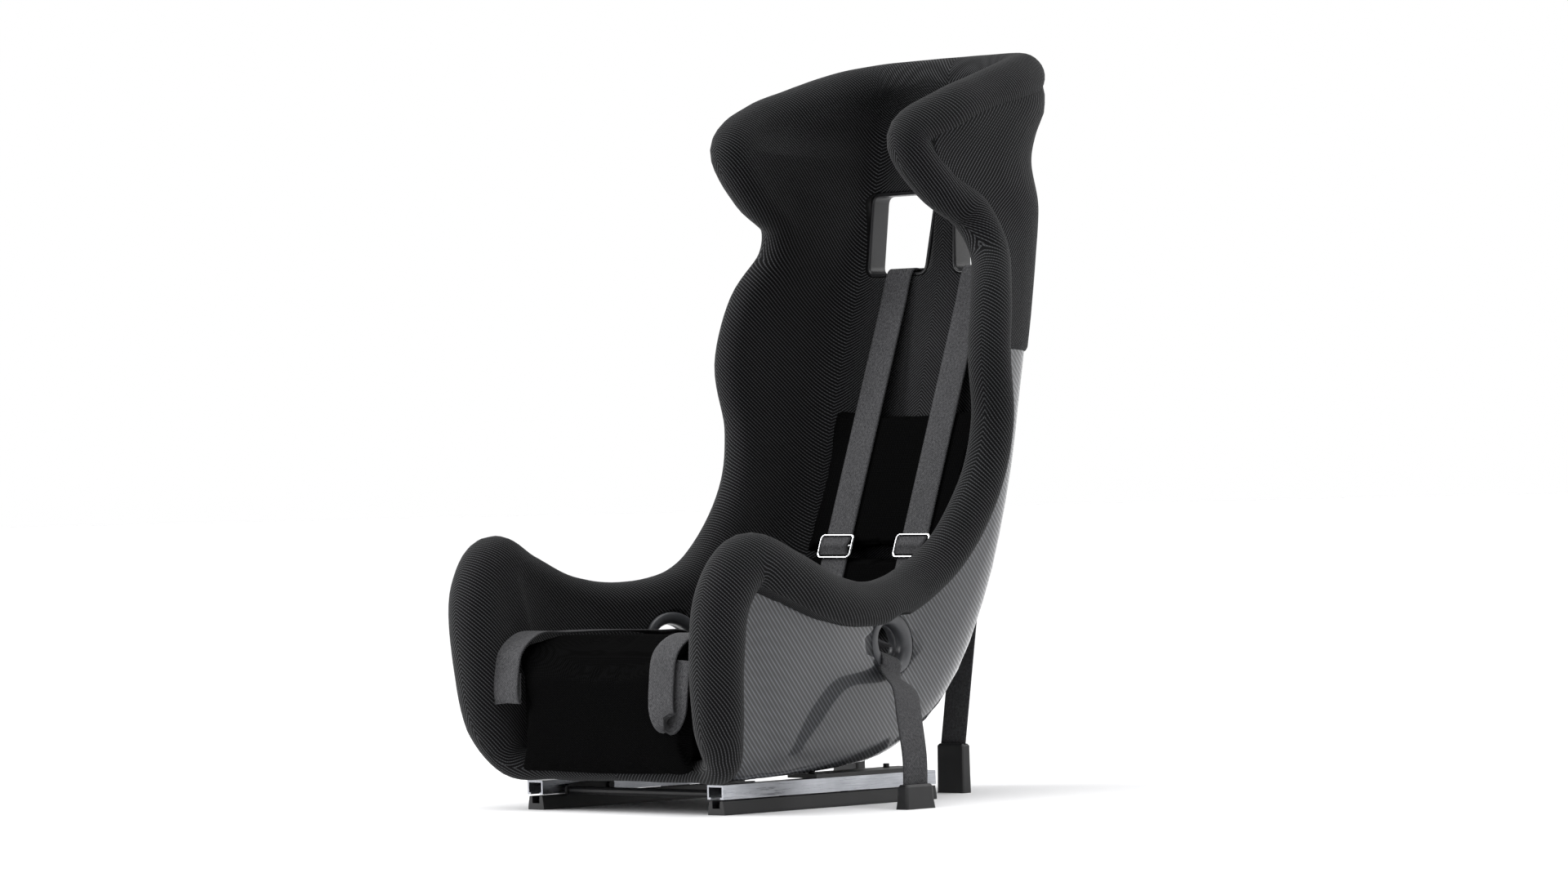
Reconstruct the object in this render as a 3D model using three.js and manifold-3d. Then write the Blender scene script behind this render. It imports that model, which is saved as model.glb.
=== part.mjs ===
// Racing bucket seat on slide rails, with a shoulder and lap harness.
// Millimetres, +Z up, the driver faces -Y and sits symmetrically about X = 0.
import * as THREE from 'three';
import { mergeVertices } from 'three/addons/utils/BufferGeometryUtils.js';
import Module from 'manifold-3d';

const wasm = await Module();
wasm.setup();

// ---------- driving dimensions ----------
const fit = 0.3;                 // gap between pieces that touch

// overall size of the bucket; the tables below are drawn for the form sizes
const seatWidth = 512;           // over the widest part of the rolled edge
const seatHeight = 915;          // from the underside of the bucket to its top
const seatDepth = 757;           // from the thigh front to the back of the head
const form = { width: 512, height: 915, depth: 757 };

const padBack = 15;              // foam and fabric on the pan and the backrest
const padSide = 20;              // foam and fabric on the wings
const shellWall = 4;             // carbon laminate
const shellSlack = 0.3;          // foam stands off the laminate by this much
const rollArrival = 26;          // the wing turns square to the rim over this length
const shellEdgeDrop = 3;         // the shell's edge stops this far below the roll's centre
const lipAngle = 244;            // the roll wraps the shell's edge this far round at the sides
const lipAngleFlat = 188;        // and this far where the wall lies down
const coverWall = 7;             // cap over the back of the head
const capBottomStation = 14.14;  // station where the head cap ends
const rowsPerStation = 1;      // fineness of the bucket's facets

const slotBottom = 667;
const slotTop = 778;
const slotOuterX = 130;
const slotInnerLowX = 23;
const slotInnerHighX = 12;
const slotCorner = 15;
const bezelWall = 4.5;
const bezelProud = 2;            // the bezel stands out of the surfaces by this much

const webbingWidth = 45;
const webbingThick = 2.4;

const grommetStation = 9.62;
const grommetHeight = 0.42;      // place along the wall, 0 at the crease and 1 at the roll
const grommetLength = 2 * webbingWidth;
const grommetDepth = 76;
const grommetRim = 16;
const grommetTilt = -28;         // degrees
const grommetProud = 3;

const beltSpread = 66.5;         // shoulder belt centre from the middle
const beltClearance = 1.2;

const hangHeight = 332;          // height at which the shoulder belts pass the adjusters
const hangDepth = 38.6;           // and how far they hang in front of the pad there

const cushionBackTop = 497;
const cushionSplit = 306;        // seam between the back cushion and the hip cushion
const cushionBackHalf = 138;
const seatCushionTop = 214;
const seatCushionRear = 176;     // height of the seat cushion at the back
const seatCushionHalf = 158;

const railLength = 380;
const railFront = -301;
const railWidth = 28;
const railSpread = 158;          // rail centre from the middle
const lowerRailHeight = 17;
const railRunGap = 2;            // between the lower and the upper rail
const upperRailHeight = 17.5;
const channelWidth = 13;
const channelDepth = 9;
const boltRadius = 5;

const lapAnchorOut = 41;         // lap anchor's middle beyond the bucket's side
const lapAnchor = { x: seatWidth / 2 + lapAnchorOut, y: -95, width: 16, length: 48, height: 30 };
const rearAnchor = { x: 92, y: 199, width: 44, length: 16, height: 63 };

// ---------- form of the bucket ----------
// Each row is one station around the rim, from the middle of the front edge to the middle of the top:
// rim centre x, y, z, roll radius, | lean, lift of the wall (degrees) | inner face at the middle y, z |
// inner crease x, y, z, crease radius
const stations = [
  [0, -303, 52, 13, 0, 90, -255, 59, 0, -278, 59, 10],
  [120, -303, 52, 13, 0, 90, -253, 59, 110, -278, 59, 10],
  [182, -315, 62, 22, 0, 45, -248, 59, 158, -284, 59, 10],
  [200, -336, 110, 31, 0, 8, -238, 59, 171, -285, 60, 14],
  [208, -345, 190, 34, 0, 0, -222, 59, 176, -272, 60, 16],
  [216, -340, 265, 35, 0, 0, -206, 60, 178, -255, 61, 18],
  [223, -306, 307, 35, 0, 0, -186, 60, 179, -232, 61, 20],
  [233, -248, 288, 33, 0, 0, -152, 61, 180, -195, 62, 24],
  [230, -170, 259, 30, 0, 0, -102, 62, 178, -135, 64, 34],
  [217, -90, 249, 29, 0, 0, -42, 64, 175, -68, 67, 52],
  [201, 0, 266, 29, 0, 0, 30, 70, 170, 8, 76, 74],
  [206, 75, 316, 28, 8, 0, 107, 121, 168, 92, 124, 72],
  [212, 132, 400, 27, 15, 0, 172, 246, 166, 169, 248, 58],
  [218, 148, 475, 27, 20, 0, 228, 412, 162, 228, 412, 46],
  [224, 138, 555, 27, 20, 0, 262, 551, 156, 263, 551, 42],
  [214, 155, 634, 26, 20, 0, 283, 633, 149, 285, 633, 40],
  [187, 182, 692, 25, 18, 0, 298, 694, 143, 300, 694, 36],
  [168, 170, 738, 26, 8, 0, 303, 741, 138, 305, 741, 34],
  [159, 113, 776, 28, 2, 0, 307, 775, 133, 309, 777, 34],
  [156, 72, 830, 29, 0, 0, 311, 806, 127, 314, 814, 34],
  [165, 130, 865, 29, 4, 0, 314, 824, 124, 317, 838, 34],
  [161, 195, 886, 29, 12, 0, 316, 838, 120, 320, 854, 32],
  [148, 275, 908, 30, 30, 0, 317, 849, 112, 323, 866, 30],
  [122, 323, 917, 31, 58, 0, 318, 858, 92, 326, 880, 24],
  [60, 345, 920, 31, 84, 0, 319, 864, 46, 329, 890, 16],
  [0, 350, 921, 31, 90, 0, 319, 867, 0, 330, 893, 12],
];
const lastStation = stations.length - 1;
const formBase = 39;             // underside of the bucket in the table
const formFront = -379;
const scaleX = seatWidth / form.width;
const scaleY = seatDepth / form.depth;
const scaleZ = seatHeight / form.height;
const placeY = (y) => formFront + (y - formFront) * scaleY;
const placeZ = (z) => formBase + (z - formBase) * scaleZ;

const vec = (x, y, z) => new THREE.Vector3(x, y, z);
const mirrored = (p) => vec(-p.x, p.y, p.z);

// a smooth curve through one triple of table columns; the rows next to the middle are mirrored
// past both ends so that the curve crosses the middle at a right angle
function stationCurve(pointOf) {
  const points = stations.map(pointOf);
  const before = mirrored(points[1]);
  const after = mirrored(points[lastStation - 1]);
  return new THREE.CatmullRomCurve3([before, ...points, after], false, 'centripetal');
}
const rimCurve = stationCurve((s) => vec(s[0] * scaleX, placeY(s[1]), placeZ(s[2])));
const creaseCurve = stationCurve((s) => vec(s[8] * scaleX, placeY(s[9]), placeZ(s[10])));
const spineCurve = new THREE.CatmullRomCurve3(stations.map((s) => vec(0, placeY(s[6]), placeZ(s[7]))));
const sizeCurve = new THREE.CatmullRomCurve3(stations.map((s) => vec(s[3], s[4], s[5])));
const radiusCurve = new THREE.CatmullRomCurve3(stations.map((s) => vec(s[11], 0, 0)));
const alongStations = (k) => k / lastStation;
const alongPadded = (k) => (k + 1) / (lastStation + 2);

// the frame of one section: spine point, crease, rim, and the wall's inward and outward directions
function sectionFrame(k) {
  const rim = rimCurve.getPoint(alongPadded(k));
  const crease = creaseCurve.getPoint(alongPadded(k));
  const spine = spineCurve.getPoint(alongStations(k));
  const size = sizeCurve.getPoint(alongStations(k));
  const along = rimCurve.getTangent(alongPadded(k));
  const spineAlong = spineCurve.getTangent(alongStations(k));
  const spineIn = vec(0, -spineAlong.z, spineAlong.y).normalize();
  const lean = THREE.MathUtils.degToRad(size.y);
  const lift = THREE.MathUtils.degToRad(size.z);
  const inward = vec(-Math.cos(lean) * Math.cos(lift), -Math.sin(lean) * Math.cos(lift), Math.sin(lift));
  inward.addScaledVector(along, -inward.dot(along)).normalize();
  const outward = along.clone().cross(inward).normalize();
  const creaseRadius = radiusCurve.getPoint(alongStations(k)).x;
  return { rim, crease, spine, roll: size.x, lift: size.z / 90, spineIn, inward, outward, creaseRadius };
}

// one layer of the section, from the middle to the roll, moved out by back and side
function layerCurves(f, back, side, endDrop = 0) {
  const a = f.spine.clone().addScaledVector(f.spineIn, -back);
  const share = 1 + f.spineIn.dot(f.inward);
  const c = f.crease.clone().addScaledVector(f.spineIn, -back / share).addScaledVector(f.inward, -side / share);
  const t = f.rim.clone().addScaledVector(f.inward, f.roll - side);
  const toSpine = a.clone().sub(c);
  const toRim = t.clone().sub(c);
  const radius = f.creaseRadius + (back + side) / 2;
  const legA = toSpine.clone().setLength(Math.min(radius, 0.8 * toSpine.length())).add(c);
  const end = t.clone().addScaledVector(f.outward, -endDrop);
  const legB = toRim.clone().setLength(Math.min(radius, 0.5 * end.distanceTo(c))).add(c);
  const reach = legB.distanceTo(end) / 3;
  const arrival = Math.min(reach, rollArrival);
  const fillet = new THREE.QuadraticBezierCurve3(legA, c, legB);
  const leave = toRim.clone().setLength(reach).add(legB);
  const arrive = end.clone().addScaledVector(f.outward, -arrival);
  const wall = new THREE.CubicBezierCurve3(legB, leave, arrive, end);
  return { flat: new THREE.LineCurve3(a, legA), fillet, wall };
}

// a layer as points; its wall may stop at a share of its length
function curvePoints(curves, steps, wallShare = 1) {
  const points = [
    ...curves.flat.getPoints(steps.flat).slice(0, -1),
    ...curves.fillet.getPoints(steps.fillet).slice(0, -1),
  ];
  for (let i = 0; i <= steps.wall; i++) points.push(curves.wall.getPoint((i / steps.wall) * wallShare));
  return points;
}
const layerPoints = (f, back, side, steps, endDrop) => curvePoints(layerCurves(f, back, side, endDrop), steps);

// the wings' thicker foam thins to the back's where the wall lies down at the middle of an edge
const sideDepth = (f, depth) => depth - f.lift * (padSide - padBack);

// a point at an angle around the roll, 0 at the inner face and 90 at its outermost line
function rollPoint(f, degrees, radius = f.roll) {
  const a = THREE.MathUtils.degToRad(degrees);
  return f.rim.clone()
    .addScaledVector(f.inward, Math.cos(a) * radius)
    .addScaledVector(f.outward, Math.sin(a) * radius);
}
const wallPoint = (f, depth, drop) => f.rim.clone()
  .addScaledVector(f.inward, f.roll - depth)
  .addScaledVector(f.outward, -drop);

// ---------- building solids ----------
const group = new THREE.Group();
const finish = {
  fabric: { color: 0x17181a, roughness: 0.95, metalness: 0 },
  knit: { color: 0x0d0d0e, roughness: 1, metalness: 0 },
  webbing: { color: 0x4a4a4c, roughness: 0.9, metalness: 0 },
  carbon: { color: 0x4c4e52, roughness: 0.3, metalness: 0.2 },
  steel: { color: 0x151516, roughness: 0.45, metalness: 0.7 },
  aluminium: { color: 0xb9bcc2, roughness: 0.3, metalness: 1 },
  chrome: { color: 0xd9dbde, roughness: 0.1, metalness: 1 },
  plastic: { color: 0x3a3b3e, roughness: 0.5, metalness: 0 },
};

function toSolid(geometry) {
  const bare = geometry.clone();
  bare.deleteAttribute('normal');
  bare.deleteAttribute('uv');
  const merged = mergeVertices(bare, 1e-3);
  const kept = [];
  const index = merged.index.array;
  for (let i = 0; i < index.length; i += 3) {
    const [a, b, c] = [index[i], index[i + 1], index[i + 2]];
    if (a !== b && b !== c && c !== a) kept.push(a, b, c);
  }
  const mesh = new wasm.Mesh({
    numProp: 3,
    vertProperties: Float32Array.from(merged.attributes.position.array),
    triVerts: Uint32Array.from(kept),
  });
  return new wasm.Manifold(mesh);
}

function toGeometry(solid) {
  const mesh = solid.getMesh();
  const geometry = new THREE.BufferGeometry();
  geometry.setAttribute('position', new THREE.BufferAttribute(new Float32Array(mesh.vertProperties), 3));
  geometry.setIndex(new THREE.BufferAttribute(new Uint32Array(mesh.triVerts), 1));
  return geometry;
}

function addPart(name, solid, finishName) {
  const mesh = new THREE.Mesh(toGeometry(solid), new THREE.MeshStandardMaterial(finish[finishName]));
  mesh.name = name;
  group.add(mesh);
  return solid;
}

// a closed skin over a grid of points; a loop joins its last row or column to the first
function gridSolid(rows, { loopRows = false, loopColumns = false, capFirst = false, capLast = false }) {
  const columns = rows[0].length;
  const positions = rows.flat().flatMap((p) => [p.x, p.y, p.z]);
  const index = [];
  const at = (i, j) => (i % rows.length) * columns + (j % columns);
  const rowSteps = loopRows ? rows.length : rows.length - 1;
  const columnSteps = loopColumns ? columns : columns - 1;
  for (let i = 0; i < rowSteps; i++) {
    for (let j = 0; j < columnSteps; j++) {
      index.push(at(i, j), at(i, j + 1), at(i + 1, j));
      index.push(at(i, j + 1), at(i + 1, j + 1), at(i + 1, j));
    }
  }
  // an end is closed between the two halves of its row, which run side by side
  const closeEnd = (i, flip) => {
    for (let j = 0; j < columns / 2 - 1; j++) {
      const quad = [at(i, j), at(i, j + 1), at(i, columns - 2 - j), at(i, columns - 1 - j)];
      const order = flip ? [0, 1, 2, 0, 2, 3] : [0, 2, 1, 0, 3, 2];
      index.push(...order.map((n) => quad[n]));
    }
  };
  if (capFirst) closeEnd(0, false);
  if (capLast) closeEnd(rows.length - 1, true);
  const geometry = new THREE.BufferGeometry();
  geometry.setAttribute('position', new THREE.Float32BufferAttribute(positions, 3));
  geometry.setIndex(index);
  const volume = signedVolume(geometry);
  if (volume < 0) flipFaces(geometry);
  return toSolid(geometry);
}

function signedVolume(geometry) {
  const p = geometry.attributes.position;
  const index = geometry.index.array;
  const [a, b, c] = [vec(), vec(), vec()];
  let volume = 0;
  for (let i = 0; i < index.length; i += 3) {
    a.fromBufferAttribute(p, index[i]);
    b.fromBufferAttribute(p, index[i + 1]);
    c.fromBufferAttribute(p, index[i + 2]);
    volume += a.dot(b.cross(c)) / 6;
  }
  return volume;
}

function flipFaces(geometry) {
  const index = geometry.index.array;
  for (let i = 0; i < index.length; i += 3) {
    [index[i + 1], index[i + 2]] = [index[i + 2], index[i + 1]];
  }
}

// the section profiles all the way round the rim: right side up, left side back down
function bucketRows(profileOf, perStation) {
  const count = Math.round(lastStation * perStation);
  const right = [];
  for (let i = 0; i <= count; i++) right.push(profileOf(sectionFrame((i / count) * lastStation)));
  right[0].forEach((p) => { p.x = 0; });
  right[count].forEach((p) => { p.x = 0; });
  const left = right.slice(1, -1).reverse().map((row) => row.map(mirrored));
  return [...right, ...left];
}

const centred = (points) => {
  points[0].x = 0;
  return points;
};

// an outline in a plane, pushed out along that plane's normal
function prism(shape, depth, segments = 4) {
  return new THREE.ExtrudeGeometry(shape, { depth, bevelEnabled: false, curveSegments: segments });
}

function placed(geometry, matrix) {
  return toSolid(geometry.clone().applyMatrix4(matrix));
}

function boxSolid(x0, x1, y0, y1, z0, z1) {
  const geometry = new THREE.BoxGeometry(x1 - x0, y1 - y0, z1 - z0);
  geometry.translate((x0 + x1) / 2, (y0 + y1) / 2, (z0 + z1) / 2);
  return toSolid(geometry);
}

function rodSolid(from, to, radius, sides = 10) {
  const axis = to.clone().sub(from);
  const geometry = new THREE.CylinderGeometry(radius, radius, axis.length(), sides);
  geometry.translate(0, axis.length() / 2, 0);
  const turn = new THREE.Quaternion().setFromUnitVectors(vec(0, 1, 0), axis.normalize());
  geometry.applyQuaternion(turn).translate(from.x, from.y, from.z);
  return toSolid(geometry);
}

// a strip of webbing along a smooth centre line; across gives its width direction at each point
function webbing(centres, across, steps, width = webbingWidth) {
  const line = new THREE.CatmullRomCurve3(centres);
  const sides = new THREE.CatmullRomCurve3(across);
  const rows = [];
  for (let i = 0; i <= steps; i++) {
    const point = line.getPoint(i / steps);
    const side = sides.getPoint(i / steps).normalize();
    const along = line.getTangent(i / steps);
    side.addScaledVector(along, -side.dot(along)).setLength(width / 2);
    const thick = along.clone().cross(side).setLength(webbingThick / 2);
    rows.push([
      point.clone().add(side).add(thick),
      point.clone().sub(side).add(thick),
      point.clone().sub(side).sub(thick),
      point.clone().add(side).sub(thick),
    ]);
  }
  return gridSolid(rows, { loopColumns: true, capFirst: true, capLast: true });
}

const flipX = (solid) => solid.mirror([1, 0, 0]);
function addPair(name, solid, finishName) {
  addPart(`${name}_right`, flipX(solid), finishName);
  addPart(`${name}_left`, solid, finishName);
}

// ---------- bucket: cover, shell and head cap ----------
const shellInner = { back: padBack + fit, side: padSide + fit };
const shellOuter = { back: shellInner.back + shellWall, side: shellInner.side + shellWall };

const bucketSteps = { flat: 1, fillet: 3, wall: 4 };
const rollSteps = 7;
const lipAt = (f) => THREE.MathUtils.lerp(lipAngle, lipAngleFlat, f.lift);
const lipDrop = (f) => -Math.sin(THREE.MathUtils.degToRad(lipAt(f))) * f.roll;
const dropAt = (f, point) => f.rim.clone().sub(point).dot(f.outward);
const leastWall = 0.2;           // the foam's edge on the laminate stays this share up the wall

// the upholstery before the shell is cut out of it; grow swells every face by a clearance
function blankProfile(f, grow = 0) {
  const inner = layerPoints(f, -grow, -grow, bucketSteps);
  const roll = [];
  for (let i = 1; i <= rollSteps; i++) roll.push(rollPoint(f, (i / rollSteps) * lipAt(f), f.roll + grow));
  const middle = shellInner.back + shellWall / 2;
  const middleSide = sideDepth(f, shellInner.side + shellWall / 2);
  const laminate = layerCurves(f, middle, middleSide, shellEdgeDrop);
  let wallShare = 1;
  while (wallShare > leastWall && dropAt(f, laminate.wall.getPoint(wallShare)) < lipDrop(f) + grow) wallShare -= 0.01;
  const behind = curvePoints(laminate, bucketSteps, wallShare);
  return [...centred(inner), ...roll, ...centred(behind).reverse()];
}

function shellProfile(f, grow = 0) {
  const drop = shellEdgeDrop - grow;
  const innerSide = sideDepth(f, shellInner.side) - grow;
  const outerSide = sideDepth(f, shellOuter.side) + grow;
  const inner = layerPoints(f, shellInner.back - grow, innerSide, bucketSteps, drop);
  const outer = layerPoints(f, shellOuter.back + grow, outerSide, bucketSteps, drop);
  return [...centred(inner), ...centred(outer).reverse()];
}
const bucketSolid = (profileOf) => gridSolid(bucketRows(profileOf, rowsPerStation), { loopRows: true });
const largest = (solid) => solid.decompose().sort((one, other) => other.volume() - one.volume())[0];
const shellRoom = bucketSolid((f) => shellProfile(f, shellSlack));
const coverRoom = bucketSolid((f) => blankProfile(f, 3 * fit));
let shell = largest(bucketSolid((f) => shellProfile(f)).intersect(shellRoom));
let cover = largest(bucketSolid((f) => blankProfile(f)).subtract(shellRoom));

// the head cap leaves the roll's outer face high up and lies on the shell at its bottom edge
const capBlendStart = 15.2;
const capBlendEnd = 18;
const capBlend = (k) => THREE.MathUtils.smoothstep(k, capBlendStart, capBlendEnd);
function capRow(k) {
  const f = sectionFrame(k);
  const innerSide = sideDepth(f, shellInner.side + shellWall / 2);
  const side = THREE.MathUtils.lerp(innerSide, 2 * f.roll - coverWall, capBlend(k));
  const steps = { flat: 2, fillet: 3, wall: 4 };
  const inner = centred(layerPoints(f, shellInner.back + shellWall / 2, side, steps));
  const outerBack = shellOuter.back + fit + coverWall;
  const outerSide = THREE.MathUtils.lerp(sideDepth(f, shellOuter.side) + fit + coverWall, 2 * f.roll, capBlend(k));
  const outer = centred(layerPoints(f, outerBack, outerSide, steps));
  const across = (half) => [...half.slice(1).reverse(), ...half.map(mirrored)];
  return [...across(outer), ...across(inner).reverse()];
}
const capRows = [];
const capCount = 17;
for (let i = 0; i <= capCount; i++) {
  capRows.push(capRow(capBottomStation + (i / capCount) * (lastStation - capBottomStation)));
}
capRows[capCount].forEach((p) => { p.x = 0; });
const capBlank = gridSolid(capRows, { loopColumns: true, capFirst: true });
let cap = largest(capBlank.subtract(shellRoom).subtract(coverRoom).subtract(cover));

// the pad's face at the middle of the backrest, as a depth for a height
const spinePoints = spineCurve.getPoints(400);
function backAt(z) {
  const above = spinePoints.findIndex((p) => p.z >= z && p.y > 0);
  const [low, high] = [spinePoints[above - 1], spinePoints[above]];
  return THREE.MathUtils.mapLinear(z, low.z, high.z, low.y, high.y);
}

// harness slots through the backrest
function slotShape(inset) {
  const corners = [
    [slotInnerLowX + inset, slotBottom + inset],
    [slotOuterX - inset, slotBottom + inset],
    [slotOuterX - inset, slotTop - inset],
    [slotInnerHighX + inset, slotTop - inset],
  ].map(([x, z]) => new THREE.Vector2(x, z));
  return roundedShape(corners, slotCorner - inset);
}

function roundedShape(corners, radius) {
  const shape = new THREE.Shape();
  corners.forEach((corner, i) => {
    const before = corners[(i + corners.length - 1) % corners.length];
    const after = corners[(i + 1) % corners.length];
    const start = before.clone().sub(corner).setLength(radius).add(corner);
    const end = after.clone().sub(corner).setLength(radius).add(corner);
    if (i === 0) shape.moveTo(start.x, start.y);
    else shape.lineTo(start.x, start.y);
    shape.quadraticCurveTo(corner.x, corner.y, end.x, end.y);
  });
  shape.closePath();
  return shape;
}

// shapes drawn in x, z are pushed along +Y from the given y
const throughY = (y) => new THREE.Matrix4().makeRotationX(Math.PI / 2).setPosition(0, y, 0);
const slotReach = 60;
const slotCut = placed(prism(slotShape(-fit), 2 * slotReach), throughY(backAt(slotTop) + slotReach));
const slotCutLeft = flipX(slotCut);

// the lap belt grommets sit in the side walls
const grommetFrame = sectionFrame(grommetStation);
const wallAt = (f, offset) => {
  const points = layerPoints(f, offset, offset, { flat: 1, fillet: 1, wall: 10 });
  return new THREE.CatmullRomCurve3(points.slice(-10)).getPoint(grommetHeight);
};
const grommetInner = wallAt(grommetFrame, 0);
const grommetOuter = wallAt(grommetFrame, shellOuter.side);
const grommetSide = wallAt(sectionFrame(grommetStation - 0.6), shellOuter.side);
const wallUp = wallAt(grommetFrame, shellOuter.side);
const wallUpper = layerPoints(grommetFrame, shellOuter.side, shellOuter.side, { flat: 1, fillet: 1, wall: 2 }).pop();
const grommetForward = grommetSide.clone().sub(grommetOuter).normalize();
const grommetRise = wallUpper.clone().sub(wallUp);
grommetRise.addScaledVector(grommetForward, -grommetRise.dot(grommetForward)).normalize();
const grommetAxis = grommetForward.clone().cross(grommetRise).normalize();
if (grommetAxis.x < 0) grommetAxis.negate();
const wallThick = grommetOuter.clone().sub(grommetInner).dot(grommetAxis);

function ovalShape(length, depth) {
  const shape = new THREE.Shape();
  shape.absellipse(0, 0, length / 2, depth / 2, 0, 2 * Math.PI, false, 0);
  return shape;
}
// the grommet's own frame: x along the wall forwards, y up the wall, z outwards
function grommetMatrix(along) {
  const turn = new THREE.Matrix4().makeRotationZ(THREE.MathUtils.degToRad(grommetTilt));
  const rise = grommetAxis.clone().cross(grommetForward);
  const basis = new THREE.Matrix4().makeBasis(grommetForward, rise, grommetAxis);
  const point = grommetOuter.clone().addScaledVector(grommetAxis, along);
  return new THREE.Matrix4().makeTranslation(point.x, point.y, point.z).multiply(basis).multiply(turn);
}
const grommetCut = placed(prism(ovalShape(grommetLength + 2 * fit, grommetDepth + 2 * fit), 120, 14), grommetMatrix(-80));
const grommetCutLeft = flipX(grommetCut);
for (const cut of [slotCut, slotCutLeft, grommetCut, grommetCutLeft]) {
  cover = cover.subtract(cut);
  shell = shell.subtract(cut);
}
cap = cap.subtract(slotCut).subtract(slotCutLeft);

function grommetRing(from, to) {
  const shape = ovalShape(grommetLength, grommetDepth);
  shape.holes.push(ovalShape(grommetLength - 2 * grommetRim, grommetDepth - 2 * grommetRim));
  return placed(prism(shape, to - from, 14), grommetMatrix(from));
}
const ringSplit = -wallThick / 2;
const grommetOuterRing = grommetRing(ringSplit + fit / 2, grommetProud);
const grommetInnerRing = grommetRing(-wallThick - grommetProud, ringSplit - fit / 2);

// the bezel leans with the backrest
const bezelShape = slotShape(0);
bezelShape.holes.push(slotShape(bezelWall));
const slotMiddle = (slotBottom + slotTop) / 2;
const backLean = (backAt(slotTop) - backAt(slotBottom)) / (slotTop - slotBottom);
const bezelFront = backAt(slotMiddle) - bezelProud;
const bezelRear = backAt(slotMiddle) + shellOuter.back + fit + coverWall + bezelProud;
const leaning = new THREE.Matrix4().makeShear(0, 0, 0, 0, 0, backLean).setPosition(0, -backLean * slotMiddle, 0);
const bezelMatrix = leaning.multiply(throughY(bezelRear));
const slotBezel = placed(prism(bezelShape, bezelRear - bezelFront), bezelMatrix);

// the shoulder belts hang straight from the slot's sill to the adjusters
const sillRear = bezelRear + backLean * (slotBottom - slotMiddle);
const sillFront = bezelFront + backLean * (slotBottom - slotMiddle);
const hang = { y: backAt(hangHeight) - hangDepth, z: hangHeight };
const beltSlope = (sillFront - 3.5 - hang.y) / (slotBottom - hang.z);
const beltDepth = (z) => hang.y + (z - hang.z) * beltSlope;

// ---------- cushions ----------
// an outline in y, z pushed across the seat, with the upholstery's own shape cut away
function cushion(points, halfWidth) {
  const shape = new THREE.Shape(points.map(([y, z]) => new THREE.Vector2(y, z)));
  const matrix = new THREE.Matrix4().makeBasis(vec(0, 1, 0), vec(0, 0, 1), vec(1, 0, 0));
  matrix.setPosition(-halfWidth, 0, 0);
  return largest(placed(prism(shape, 2 * halfWidth), matrix).subtract(coverRoom));
}
const padSink = 8;               // the blank outline reaches this far into the pad before it is cut
const faceAt = (z) => beltDepth(z) + webbingThick / 2 + beltClearance;
const backCushion = cushion([
  [faceAt(cushionBackTop), cushionBackTop],
  [backAt(cushionBackTop) + padSink, cushionBackTop],
  [backAt(400) + padSink, 400],
  [backAt(cushionSplit + fit) + padSink, cushionSplit + fit],
  [faceAt(cushionSplit + fit), cushionSplit + fit],
], cushionBackHalf);
const hipLow = 205;
const hipCushion = cushion([
  [faceAt(cushionSplit), cushionSplit],
  [backAt(cushionSplit) + padSink, cushionSplit],
  [backAt(250) + padSink, 250],
  [backAt(hipLow) + padSink, hipLow],
  [faceAt(hipLow), hipLow],
], cushionBackHalf - 4);
addPart('back_cushion', backCushion, 'knit');
addPart('hip_cushion', hipCushion, 'knit');

const panLevel = (k) => spineCurve.getPoint(alongStations(k)).z;
const cushionFront = placeY(-338);
const cushionRound = 30;
const cushionRearEnd = backAt(hipLow) - 22;
const nose = [0, 30, 60, 90].map((degrees) => {
  const a = THREE.MathUtils.degToRad(degrees);
  return [cushionFront + cushionRound * (1 - Math.cos(a)), seatCushionTop - cushionRound * (1 - Math.sin(a))];
});
const seatCushion = cushion([
  [cushionFront + 4, panLevel(0) - 16],
  ...nose,
  [-120, seatCushionTop - 6],
  [40, seatCushionRear],
  [cushionRearEnd, seatCushionRear - 6],
  [cushionRearEnd - 18, 120],
  [40, panLevel(10) - padSink],
  [-250, panLevel(2) - padSink],
  [-318, panLevel(0) - 16],
], seatCushionHalf);
addPart('seat_cushion', seatCushion, 'knit');

// ---------- rails and what carries the bucket ----------
const alongY = (y0) => new THREE.Matrix4().makeBasis(vec(1, 0, 0), vec(0, 0, 1), vec(0, -1, 0)).setPosition(0, y0, 0);
function extrudedAlongY(points, y0, y1) {
  const shape = new THREE.Shape(points.map(([x, z]) => new THREE.Vector2(x, z)));
  return placed(prism(shape, y1 - y0), alongY(y1));
}
const mirrorOutline = (half) => [...half, ...half.slice().reverse().map(([x, z]) => [-x, z])];
const railRear = railFront + railLength;
const lowerTop = railWidth / 2 - 2.5;
const channelFloor = lowerRailHeight - channelDepth;
const lowerRail = extrudedAlongY(mirrorOutline([
  [channelWidth / 2, channelFloor],
  [channelWidth / 2, lowerRailHeight],
  [lowerTop, lowerRailHeight],
  [railWidth / 2, 3],
  [railWidth / 2, 0],
]), railFront, railRear).translate([railSpread, 0, 0]);

const upperBase = lowerRailHeight + railRunGap;
const upperTop = upperBase + upperRailHeight;
const upperHalf = railWidth / 2 - 0.5;
const upperWall = 2.5;
const upperMouth = 8;
const upperRail = extrudedAlongY(mirrorOutline([
  [upperHalf - upperWall, upperTop - upperWall],
  [upperHalf - upperWall, upperBase + upperWall],
  [upperMouth, upperBase + upperWall],
  [upperMouth, upperBase],
  [upperHalf, upperBase],
  [upperHalf, upperTop],
]), railFront - 1, railRear - 1).translate([railSpread, 0, 0]);

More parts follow.
